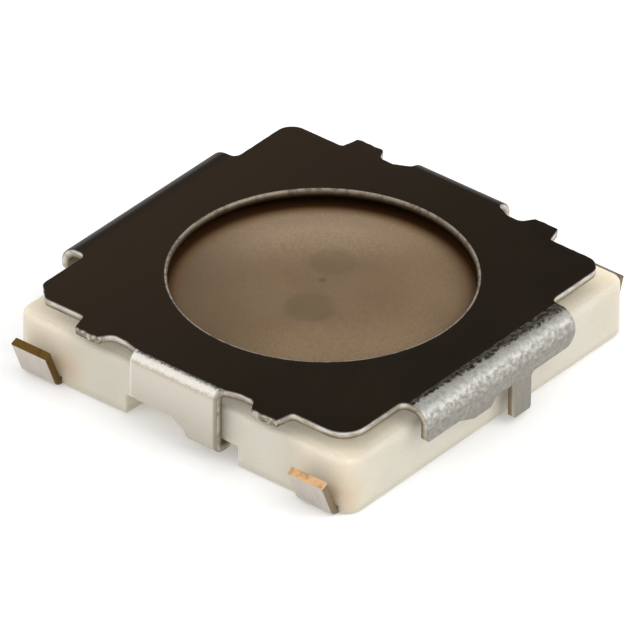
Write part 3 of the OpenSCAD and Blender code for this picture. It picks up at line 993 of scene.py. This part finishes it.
def plug(value, socket):
    """Feeds a socket with a field, a number, or a colour given as red, green and blue."""
    if isinstance(value, Field):
        value.tree.links.new(value.socket, socket)
    else:
        socket.default_value = (*value, 1) if socket.type == "RGBA" else value


class Field:
    """A value, place or colour that changes over the surface. Plain arithmetic on it adds Math nodes."""

    def __init__(self, socket):
        self.socket, self.tree = socket, socket.id_data

    def math(self, operation, *others, clamp=False):
        """One Math node, with this field in its first socket."""
        node = add_node(self.tree, "ShaderNodeMath", operation=operation, use_clamp=clamp)
        for socket, value in zip(node.inputs, (self, *others)):
            plug(value, socket)
        return Field(node.outputs[0])

    def __add__(self, other):
        return self.math("ADD", other)

    def __sub__(self, other):
        return self.math("SUBTRACT", other)

    def __mul__(self, other):
        return self.math("MULTIPLY", other)

    def __truediv__(self, other):
        return self.math("DIVIDE", other)

    def __gt__(self, other):
        return self.math("GREATER_THAN", other)

    def __lt__(self, other):
        return self.math("LESS_THAN", other)

    def __abs__(self):
        return self.math("ABSOLUTE")


print("a field knows its tree, so no function below has to be told")

# %% Functions on fields


def axes(place):
    """The three coordinates of a place."""
    node = add_node(place.tree, "ShaderNodeSeparateXYZ")
    plug(place, node.inputs[0])
    return [Field(output) for output in node.outputs]


def distance(first, *others):
    """The root of the sum of the squares."""
    return sum((part * part for part in others), first * first).math("SQRT")


def ramp(value, low, high, to_low=0.0, to_high=1.0, smooth=True):
    """Maps a value from one range to another, with soft ends or straight."""
    node = add_node(value.tree, "ShaderNodeMapRange",
                    interpolation_type="SMOOTHSTEP" if smooth else "LINEAR")
    for socket, given in zip(node.inputs[:5], (value, low, high, to_low, to_high)):
        plug(given, socket)
    return Field(node.outputs[0])


def blend(mask, low, high):
    """One colour where the mask is nought, and another where it is one."""
    node = add_node(mask.tree, "ShaderNodeMix", data_type="RGBA")
    for number, given in ((0, mask), (6, low), (7, high)):
        plug(given, node.inputs[number])
    return Field(node.outputs[2])


def layered(tone, *layers):
    """A tone with more colours laid over it in turn, each through its own mask."""
    for mask, colour in layers:
        tone = blend(mask, tone, colour)
    return tone


def tone_ramp(value, *stops):
    """Colours at places between nought and one, joined by straight blends."""
    node = add_node(value.tree, "ShaderNodeValToRGB")
    while len(node.color_ramp.elements) < len(stops):
        node.color_ramp.elements.new(0.5)
    for element, (at, colour) in zip(node.color_ramp.elements, stops):
        element.position, element.color = at, (*colour, 1)
    plug(value, node.inputs[0])
    return Field(node.outputs[0])


print("fields can be ramped, blended and layered")

# %% [markdown]
# ## Shared effects
# Three effects are used by more than one material, so each is a node group with its own inputs. Grain is
# fine noise, as on moulded resin or rolled metal. Streaks are noise that is stretched one way, as left
# by rollers and bending tools. Clouds are slow changes of tone. All of them read a position in
# millimetres, so their scale is easy to judge against the real part.

# %% Node groups for grain, streaks and clouds


def noise_group(name, detail, roughness):
    """A node group: noise over a stretched position, spread between two limits to a mask."""
    group = bpy.data.node_groups.new(name, "ShaderNodeTree")
    for given, way, kind in (("Position", "INPUT", "Vector"), ("Stretch", "INPUT", "Vector"),
                             ("Low", "INPUT", "Float"), ("High", "INPUT", "Float"),
                             ("Mask", "OUTPUT", "Float")):
        group.interface.new_socket(given, in_out=way, socket_type="NodeSocket" + kind)
    given, result = group.nodes.new("NodeGroupInput"), group.nodes.new("NodeGroupOutput")
    scaled = add_node(group, "ShaderNodeVectorMath", operation="MULTIPLY")
    noise = add_node(group, "ShaderNodeTexNoise", {"Scale": 1.0, "Detail": detail, "Roughness": roughness})
    spread = add_node(group, "ShaderNodeMapRange", interpolation_type="SMOOTHSTEP")
    for start, end in ((given.outputs["Position"], scaled.inputs[0]),
                       (given.outputs["Stretch"], scaled.inputs[1]),
                       (scaled.outputs[0], noise.inputs["Vector"]),
                       (noise.outputs["Fac"], spread.inputs[0]),
                       (given.outputs["Low"], spread.inputs[1]),
                       (given.outputs["High"], spread.inputs[2]),
                       (spread.outputs[0], result.inputs["Mask"])):
        group.links.new(start, end)
    return group


grain_group = noise_group("grain", 4.0, 0.6)
streak_group = noise_group("streaks", 6.0, 0.65)
cloud_group = noise_group("clouds", 2.0, 0.5)
print("shared effects:", [group.name for group in bpy.data.node_groups])

# %% Using an effect, starting and ending a material


def effect(group, place, stretch, low=0.3, high=0.7):
    """Places a shared effect and returns its mask. Stretch is waves per millimetre, one for each axis."""
    node = add_node(place.tree, "ShaderNodeGroup", node_tree=group)
    for name, value in (("Position", place), ("Stretch", stretch), ("Low", low), ("High", high)):
        plug(value, node.inputs[name])
    return Field(node.outputs["Mask"])


def new_material(name, **constants):
    """A material, its shader's inputs with the constants set, and the place on the object in mm."""
    material = bpy.data.materials.new(name)
    material.use_nodes = True
    tree = material.node_tree
    inputs = tree.nodes["Principled BSDF"].inputs
    for key, value in constants.items():
        inputs[key.replace("_", " ")].default_value = value
    scaled = add_node(tree, "ShaderNodeVectorMath", {1: (1 / MM,) * 3}, operation="MULTIPLY")
    tree.links.new(add_node(tree, "ShaderNodeTexCoord").outputs["Object"], scaled.inputs[0])
    return material, inputs, Field(scaled.outputs[0])


def attribute(field, name):
    """A number that the mesh keeps for each of its points."""
    return Field(add_node(field.tree, "ShaderNodeAttribute", attribute_name=name).outputs["Fac"])


def bump(inputs, height, depth):
    """Feeds the shader a relief of the given depth in metres."""
    node = add_node(height.tree, "ShaderNodeBump", {"Strength": 1.0, "Distance": depth})
    plug(height, node.inputs["Height"])
    plug(Field(node.outputs["Normal"]), inputs["Normal"])


def wear(piece, material):
    """Gives the whole piece one material, and says how many nodes that has."""
    piece.data.materials.clear()
    piece.data.materials.append(material)
    print(piece.name, "wears", material.name, "with", len(material.node_tree.nodes), "nodes")


print("helpers for materials are ready")

# %% [markdown]
# ## Ivory resin
# The base is a moulded resin with glass filler: ivory, slightly warm, satin, with faint clouds and a
# fine grain. It lets light in, so the shader scatters light below the skin. A weak painted glow lifts
# the whole base a little, and lifts more the shaded ledge beside the cover's ring and the wall above each
# soldering end, in place of the light that comes through the resin there. The colour is laid on in
# layers, and each layer's mask is a distance: warmer near each soldering end, with a painted brown
# shadow and reflection beside each end, painted shade at the foot of the walls, under the cover's edge
# and in the gap beneath it, and a painted near-black shade in the recess round the film, where hardly
# any light gets to.

# %% Resin: distances
resin, inputs, spot = new_material("ivory_resin", Roughness=0.5, Specular_IOR_Level=0.3,
                                   Subsurface_Weight=0.8, Subsurface_Scale=0.0003)
inputs["Subsurface Radius"].default_value = (1.0, 0.85, 0.6)
x, y, z = axes(spot)
past_wall = abs(x) - half_x
from_end = distance(past_wall, abs(y) - terminal_y)
from_wall = (abs(x) * -1 + half_x).math("MINIMUM", abs(y) * -1 + half_y)
from_ring = abs(x).math("MAXIMUM", abs(y)).math("MAXIMUM", (abs(x) + abs(y)) * 0.5 + 0.12)
# a painted brown shadow and reflection beside each soldering end, a little to one side of it and above the
# foot
shadow_aside, shadow_z = -0.3, 0.26
from_end_shadow = distance(past_wall, abs(y + x.math("SIGN") * shadow_aside) - terminal_y, z - shadow_z)
print("resin: distances from the walls, the ends, the ring and the painted shadows")

# %% Resin: masks, colours and glow
clouds = effect(cloud_group, spot, (1.3, 1.3, 1.6))
grain = effect(grain_group, spot, (38, 38, 38))
# on_ledge and above_end are the masks of a painted glow, which lights the shaded ledge and the wall above
# each end by emission
on_ledge = ramp(from_ring, seat_x + 0.02, seat_x + 0.08) * ramp(from_wall, -0.02, 0.12)
on_ledge = on_ledge * ramp(z, base_h - 0.05, base_h)
above_end = ramp(from_end, 0.15, 0.5, 1, 0) * ramp(z, 0.25, 0.40)
# painted shade on the ledge under the cover's edge
cover_edge_shade = ramp(from_wall, 0.04, 0.20, 0, 0.6) * ramp(z, base_h - 0.03, base_h - 0.005)
# painted shade on the resin in the gap beneath the cover
gap_shade = ramp(z, base_h + 0.004, base_h + 0.03, 0, 0.75)
# painted near-black shade in the recess round the film
film_recess_shade = ramp(distance(x, y), recess_r + 0.02, recess_r + 0.06, 1, 0) * ramp(z, 0.5, 0.6)
tone = layered(
    blend(clouds, (0.615, 0.585, 0.505), (0.575, 0.54, 0.455)),
    (grain * 0.28, (0.48, 0.44, 0.36)),
    (ramp(from_end, 0.15, 0.75, 0.294, 0), (0.64, 0.49, 0.32)),
    (cover_edge_shade, (0.52, 0.43, 0.25)),
    # painted shade at the foot of the walls
    (ramp(z, 0.02, 0.12, 0.55, 0), (0.40, 0.37, 0.30)),
    (ramp(from_end_shadow, 0.05, 0.34, 0.6, 0), (0.56, 0.42, 0.27)),
    (gap_shade, (0.34, 0.24, 0.13)),
    (film_recess_shade, (0.02, 0.010, 0.004)))
plug(tone, inputs["Base Color"])
inputs["Emission Color"].default_value = (0.90, 0.84, 0.71, 1)
# painted glow: emission that lifts the whole base a little, and more the ledge and the wall above each end,
# fading out in the gap and by the film
glow = above_end * 0.12 + (on_ledge * 0.20 + 0.05)
plug(glow * ramp(gap_shade, 0, 0.75, 1, 0.1) * (film_recess_shade * -1 + 1), inputs["Emission Strength"])
bump(inputs, grain, 0.0000025)
wear(base, resin)

# %% [markdown]
# ## Cover steel
# The cover's flat top is painted nearly black and smooth: a painted dark reflection, a little lighter
# towards the back. The near bends and every cut edge shine with painted highlights. The material finds
# the bends by the blank's own coordinates: how far a point has run past its bend line, as a share of
# the bend's arc. A ragged noise is added to that share, so that the bands are broken as on the real
# sheet. The two far bends turn away from the light and get painted shade.

# %% Where the sheet is bent
steel, inputs, spot = new_material("cover_steel", Roughness=0.46)
flat_uv = add_node(steel.node_tree, "ShaderNodeUVMap", uv_map="blank")
unfold = add_node(steel.node_tree, "ShaderNodeMapping",
                  {"Location": (-BLANK_SPAN / 2, -BLANK_SPAN / 2, 0), "Scale": (BLANK_SPAN, BLANK_SPAN, 1)})
plug(Field(flat_uv.outputs[0]), unfold.inputs[0])
blank = Field(unfold.outputs[0])
u, v, _ = axes(blank)
at_rear = u > 0
bend_start = at_rear * (rear_line - front_line) + front_line
share_x = (abs(u) - bend_start) / (at_rear * (rear_arc - front_arc) + front_arc)
share_y = (abs(v) - bend_y) / flank_arc
on_crimp = abs(v) < (crimp_half + tab_low) / 2
on_flank = abs(u - cover_off) < flank_half + small
on_leg = ramp(abs(v), flank_edge - 0.02, flank_edge + 0.02)
print("the material now knows the share of each bend")

# %% [markdown]
# The bands are read off two ramps of colours. Place 0.1 of a ramp is the bend line and place 0.6 the end
# of the arc. On the flanks the painted highlight band starts sharply, is brightest half way round and
# ends in a duller grey, with darker mottles. On the crimped flaps it starts softly and is nearly white.

# %% Bands on the flanks
# the painted dark reflection of the top, and the painted shade of the far bends
painted_dark_top, far_bend_shade = (0.011, 0.008, 0.005), (0.020, 0.015, 0.010)
# tool streaks and speckle: they break up the painted highlight bands and give the flaps their relief
tool_streaks_and_sheen = effect(streak_group, blank, (5, 11, 1), 0.2, 0.8)
tool_speckle_and_sheen = effect(grain_group, blank, (15, 22, 1), 0.32, 0.68)
broken = (tool_speckle_and_sheen - 0.5) * 0.13 + (tool_streaks_and_sheen - 0.5) * 0.12
later = ramp(u, -1.2, 1.2, 0, -0.20, smooth=False) * ramp(share_y, 0.1, 0.8, 1, 0)
# painted highlight band along the flank bends
flank_tones = tone_ramp(
    (share_y + later + broken) * 0.5 + 0.1,
    (0.10, painted_dark_top), (0.115, (0.14, 0.135, 0.12)), (0.15, (0.36, 0.35, 0.33)), (0.25, (0.48, 0.47, 0.44)),
    (0.37, (0.68, 0.665, 0.63)), (0.46, (0.52, 0.505, 0.465)), (0.62, (0.34, 0.325, 0.285)))
# the rear flank's bend keeps painted shade
flank_tones = layered(
    flank_tones,
    (tool_speckle_and_sheen * 0.55, (0.15, 0.14, 0.12)),
    (on_leg * 0.7, (0.26, 0.245, 0.21)),
    (ramp(share_y, 0.75, 0.95, 1, 0) * (v > 0), far_bend_shade))
print("flank bands are blended")

# %% Bands on the crimped flaps
fine = effect(grain_group, spot, (38, 38, 38), 0.3, 0.7)
# painted highlight band along the crimped bends
crimp_tones = tone_ramp(
    ((fine - 0.5) * 0.14 + share_x) * 0.5 + 0.1,
    (0.10, painted_dark_top), (0.16, (0.16, 0.15, 0.135)), (0.25, (0.84, 0.80, 0.74)), (0.40, (0.76, 0.71, 0.64)),
    (0.49, (0.50, 0.44, 0.35)), (0.55, (0.58, 0.53, 0.445)), (0.62, (0.60, 0.56, 0.485)))
front_end = front_line + front_arc
# painted shade towards the flap's foot and along one end, a painted highlight along the other end, and
# painted shade on the rear flap
crimp_tones = layered(
    crimp_tones,
    (ramp(abs(u), front_end, front_end + 0.6, 0, 0.6), (0.44, 0.405, 0.34)),
    (ramp(v, 0.07 - crimp_half, 0.02 - crimp_half, 0, 0.8), (0.24, 0.20, 0.15)),
    (ramp(v, crimp_half - 0.05, crimp_half - 0.01, 0, 0.6), (0.85, 0.81, 0.74)),
    (ramp(share_x, 0.75, 0.95, 1, 0) * at_rear, far_bend_shade))
print("crimp bands are blended")

# %% Dark top with its bands
smears_and_sheen = effect(cloud_group, spot, (0.9, 0.9, 0.9))
dust = effect(grain_group, spot, (60, 60, 60))
# the top's near-black tones are a painted dark reflection with random smears, and the ramp along v paints it
# lighter towards the back
tone = layered(
    blend(smears_and_sheen, (0.0105, 0.0070, 0.0043), (0.0130, 0.0088, 0.0054)),
    (ramp(v, -1.8, 2.6), (0.0250, 0.0168, 0.0098)),
    (dust * 0.24, (0.030, 0.022, 0.014)),
    (on_flank * ramp(share_y, -0.2, -0.19), flank_tones),
    (on_crimp * ramp(share_x, 0, 0.02), crimp_tones))
print("the top is dark, and its bends shine")

# %% [markdown]
# The cut edges have their own colours through the depth of the sheet: a painted highlight on the rolled
# round at the top, and painted shade down to the dark torn foot, dimmed in patches. They differ from
# place to place: the tabs' ends are speckled light and dark, the ground leg is a duller grey, and the
# opening's wall has a painted highlight above and painted shade below, under a thin painted highlight
# on the top skin beside the round that the punch has left.

# %% Cut edges of the outline
edge, depth_in = attribute(spot, "cut_edge"), attribute(spot, "depth")
# patches along the edge where its painted highlight is dimmed by painted shade
edge_shade_patches = effect(grain_group, spot, (5, 5, 14), 0.42, 0.62)
# light and dark speckle on the tabs' ends
tab_speckle = effect(grain_group, spot, (16, 16, 16), 0.45, 0.6)
on_tab = (ramp(abs(abs(v) - (tab_low + tab_high) / 2), 0.17, 0.24, 0.75, 0)
          * ramp(abs(u), relief_x - 0.05, relief_x + 0.02))
# painted highlight on the rolled round and painted shade down to the torn foot, on the outline and on the
# leg
cut_tone = tone_ramp(depth_in, (0, (0.10, 0.08, 0.06)), (0.22, (0.72, 0.70, 0.65)),
                     (0.45, (0.60, 0.57, 0.51)), (0.80, (0.30, 0.24, 0.16)), (1, (0.16, 0.11, 0.06)))
leg_tone = tone_ramp(depth_in, (0, (0.40, 0.37, 0.32)), (0.30, (0.58, 0.54, 0.47)),
                     (0.5, (0.30, 0.25, 0.18)), (1, (0.20, 0.15, 0.09)))
cut_tone = layered(
    cut_tone,
    (edge_shade_patches * 0.5, (0.15, 0.115, 0.07)),
    (on_tab, blend(tab_speckle, (0.14, 0.11, 0.07), (0.50, 0.47, 0.40))),
    (on_leg, leg_tone))
print("cut edges change with depth, along the tabs and on the leg")

# %% Edge of the opening
radius = distance(u, v)
in_opening = radius < opening_r + 0.05
# spots that break the painted highlights round the opening
glint_spots = effect(grain_group, spot, (13, 13, 13), 0.44, 0.62)
# painted highlight on the opening's round above, painted shade on its wall below
hole_tone = tone_ramp(depth_in, (0, (0.17, 0.14, 0.105)), (0.18, (0.25, 0.21, 0.155)),
                      (0.42, (0.20, 0.16, 0.11)), (0.62, (0.06, 0.034, 0.015)), (1, (0.02, 0.010, 0.004)))
hole_tone = blend(glint_spots * 0.4, hole_tone, (0.035, 0.026, 0.016))
# painted near-black shade on the lowest part of the opening's wall
below = in_opening * ramp(depth_in, 0.70, 0.90)
# painted thin highlight on the top skin beside the opening's round
rim = ramp(radius, opening_r + 0.022, opening_r + 0.040, 0.85, 0) * ramp(depth_in, 0.02, 0.10, 1, 0)
tone = layered(
    tone,
    (edge, blend(in_opening, cut_tone, hole_tone)),
    (below, (0.006, 0.004, 0.002)),
    (rim, blend(glint_spots * 0.7, (0.38, 0.34, 0.285), (0.08, 0.062, 0.042))))
plug(tone, inputs["Base Color"])
print("the opening has its wall and its rim")

# %% Finish of the steel
flap = (on_flank * ramp(share_y, 0, 0.3)).math("MAXIMUM", on_crimp * ramp(share_x, 0, 0.1))
metal = flap.math("MAXIMUM", edge).math("SUBTRACT", below, clamp=True)
plug(metal * 0.8, inputs["Metallic"])
plug(ramp(metal, 0, 1, 0.012, 0.4), inputs["Specular IOR Level"])
bump(inputs, (tool_streaks_and_sheen + tool_speckle_and_sheen) * flap, 0.0000025)
wear(cover, steel)

# %% [markdown]
# ## Film
# The film is a tan plastic, satin and slightly translucent. Towards the ledge it carries a painted brown
# shadow of the cover's rim, and it is a little darker in the two heat marks and the dent. Slow ramps
# along the two diagonals paint light and shade on it: lighter towards the back and the front than at
# the left.

# %% Tan film: place and masks
tan, inputs, spot = new_material("tan_film", Roughness=0.45, Specular_IOR_Level=0.12)
x, y, _ = axes(spot)
radius = distance(x, y)
backwards, sideways = x + y, x - y
grain = effect(grain_group, spot, (38, 38, 38), 0.25, 0.75)
clouds = effect(cloud_group, spot, (1.6, 1.6, 1.0))
mark_layers, mark_strengths = [], (0.85, 0.5)
for (mark_x, mark_y, mark_r, _), strength in zip(marks, mark_strengths):
    pressed = ramp(distance(x - mark_x, y - mark_y), mark_r - 0.07, mark_r + 0.04, strength, 0)
    mark_layers.append((pressed * (clouds * 0.4 + 0.6), (0.118, 0.080, 0.040)))
# painted brown shadow of the cover's rim, darkest at the ledge
rim_shadow_tones = tone_ramp(ramp(radius, 1.44, 1.77, smooth=False), (0, (0.185, 0.112, 0.056)),
                      (0.55, (0.15, 0.082, 0.036)), (0.90, (0.04, 0.016, 0.005)))
print("film:", len(mark_layers), "heat marks and a painted shadow at its border")

# %% Tan film: colours and grain
tone = layered(
    blend(clouds, (0.186, 0.123, 0.067), (0.167, 0.108, 0.057)),
    # painted light and shade along the two diagonals
    (ramp(backwards, 0.2, 1.9, 0, 0.8), (0.40, 0.29, 0.195)),
    (ramp(backwards, -0.9, -1.9, 0, 0.55), (0.30, 0.21, 0.125)),
    (ramp(sideways, 0.6, 2.2, 0, 0.25), (0.34, 0.24, 0.14)),
    (ramp(sideways, -2.2, -0.5, 0.55, 0), (0.115, 0.078, 0.042)),
    (grain * 0.45, (0.115, 0.074, 0.039)),
    *mark_layers,
    (ramp(radius, 0.015, 0.07, 0.7, 0), (0.09, 0.058, 0.024)),
    (ramp(radius, 1.48, 1.74), rim_shadow_tones))
plug(tone, inputs["Base Color"])
bump(inputs, grain, 0.0000015)
wear(film, tan)

# %% [markdown]
# ## Plated contacts
# The soldering ends are plated sheet: lilac grey, satin, with rolling streaks. Where the strip was cut
# off after plating, the bare alloy shows. On the front tips it also carries a painted reflection: bright
# orange on one contact and dark olive on the other. At the rear it is brown. The mesh keeps for each
# point how far along the strip the next tip is, so the tip's face is where that run is almost nought.

# %% Plating with bare tips


def contact_material(name, front_bare_and_reflection, rear_bare, side_tone):
    """Plated sheet whose cut tips show the bare alloy, in one colour at the front and one at the rear; the
    front colour carries a painted reflection.
    """
    material, inputs, spot = new_material(name, Metallic=0.9, Roughness=0.38)
    x, y, _ = axes(spot)
    at_rear = x > 0
    streaks = effect(streak_group, spot, (4, 22, 4))
    grain = effect(grain_group, spot, (50, 50, 50))
    stain = effect(grain_group, spot, (9, 9, 9), 0.45, 0.75)
    aside = abs(abs(y) - (at_rear * -rear_in + terminal_y))
    cut_side = ramp(aside, terminal_w / 2 - 0.012, terminal_w / 2 - 0.004) * (abs(x) > solder_from)
    dull = tuple(0.35 * part for part in front_bare_and_reflection)
    tip_tone = blend(stain * 0.7, blend(at_rear, front_bare_and_reflection, rear_bare), dull)
    tone = layered(
        blend(streaks, (0.60, 0.55, 0.50), (0.51, 0.46, 0.41)),
        (grain * 0.25, (0.48, 0.42, 0.36)),
        (cut_side, side_tone),
        (ramp(attribute(spot, "to_tip"), 0.004, 0.016, 1, 0), tip_tone))
    plug(tone, inputs["Base Color"])
    bump(inputs, streaks, 0.000002)
    return material


# the front strip's front tip carries a painted bright reflection in orange, and the rear strip's a painted
# dark one in olive
wear(contacts["contact_front_strip"],
     contact_material("plating_front", (0.88, 0.54, 0.28), (0.10, 0.075, 0.045), (0.22, 0.17, 0.11)))
wear(contacts["contact_rear_strip"],
     contact_material("plating_rear", (0.15, 0.085, 0.015), (0.16, 0.12, 0.08), (0.15, 0.085, 0.02)))

# %% [markdown]
# ## Pieces under the film
# The pusher and the two domes can't be seen while the switch is whole, but an opened model shows them.
# The pusher is a plain moulded disc, and the domes are bright spring sheet with fine rolling streaks.

# %% Pusher and domes
plain, inputs, spot = new_material("pusher_resin", Roughness=0.5)
grain = effect(grain_group, spot, (30, 30, 30))
plug(blend(grain, (0.46, 0.34, 0.21), (0.38, 0.27, 0.16)), inputs["Base Color"])
bump(inputs, grain, 0.000002)
wear(frame["nodes"]["pusher"], plain)

spring, inputs, spot = new_material("dome_steel", Metallic=1.0)
streaks = effect(streak_group, spot, (2, 40, 2))
plug(blend(streaks, (0.72, 0.72, 0.72), (0.52, 0.52, 0.53)), inputs["Base Color"])
plug(ramp(streaks, 0, 1, 0.22, 0.34), inputs["Roughness"])
bump(inputs, streaks, 0.000001)
for node in dome_low:
    wear(frame["nodes"][node], spring)

# %% [markdown]
# ## Stage and light
# The photograph has a pure white ground and soft light from all round, a little stronger from the right.
# The floor is a large pale sheet that keeps the object's faint shadow. Seen from below it is clear, so
# that the underside can be looked at. The world is a plain bright white, and two wide suns add the
# direction: a stronger one from the camera's right, and a weaker one that fills the left side.

# %% Floor
floor_half, floor_gap = 60.0, 0.01
corners = np.array([[-1, -1, 0], [1, -1, 0], [1, 1, 0], [-1, 1, 0]]) * floor_half
floor_mesh = bpy.data.meshes.new("floor")
floor_mesh.from_pydata(((corners - [0, 0, floor_gap]) * MM).tolist(), [], [[0, 1, 2, 3]])
floor = bpy.data.objects.new("floor", floor_mesh)
bpy.context.scene.collection.objects.link(floor)
paper, inputs, spot = new_material("white_paper", Roughness=0.9, Base_Color=(0.93, 0.93, 0.93, 1),
                                   Emission_Color=(1, 1, 1, 1), Emission_Strength=0.16)
tree = paper.node_tree
pick = add_node(tree, "ShaderNodeMixShader")
clear, side = add_node(tree, "ShaderNodeBsdfTransparent"), add_node(tree, "ShaderNodeNewGeometry")
for output, socket in ((side.outputs["Backfacing"], pick.inputs[0]),
                       (tree.nodes["Principled BSDF"].outputs[0], pick.inputs[1]),
                       (clear.outputs[0], pick.inputs[2]),
                       (pick.outputs[0], tree.nodes["Material Output"].inputs[0])):
    tree.links.new(output, socket)
wear(floor, paper)

# %% World and lamps
world = bpy.data.worlds.new("studio")
world.use_nodes = True
bpy.context.scene.world = world
ground = world.node_tree.nodes["Background"]
ground.inputs[0].default_value = (1, 1, 1, 1)
ground.inputs[1].default_value = 0.85


def wide_sun(name, energy, spread, tilt, turn):
    """A sun with a wide disc, tilted from overhead and turned about the vertical, in degrees."""
    lamp = bpy.data.objects.new(name, bpy.data.lights.new(name, "SUN"))
    lamp.data.energy, lamp.data.angle = energy, np.radians(spread)
    lamp.rotation_euler = (np.radians(tilt), 0, np.radians(turn))
    bpy.context.scene.collection.objects.link(lamp)
    print(name, "has strength", energy)


wide_sun("window_light", 1.0, 50, 48, 12)
wide_sun("fill_light", 0.4, 60, 52, -105)
bpy.context.scene.view_settings.view_transform = "Standard"
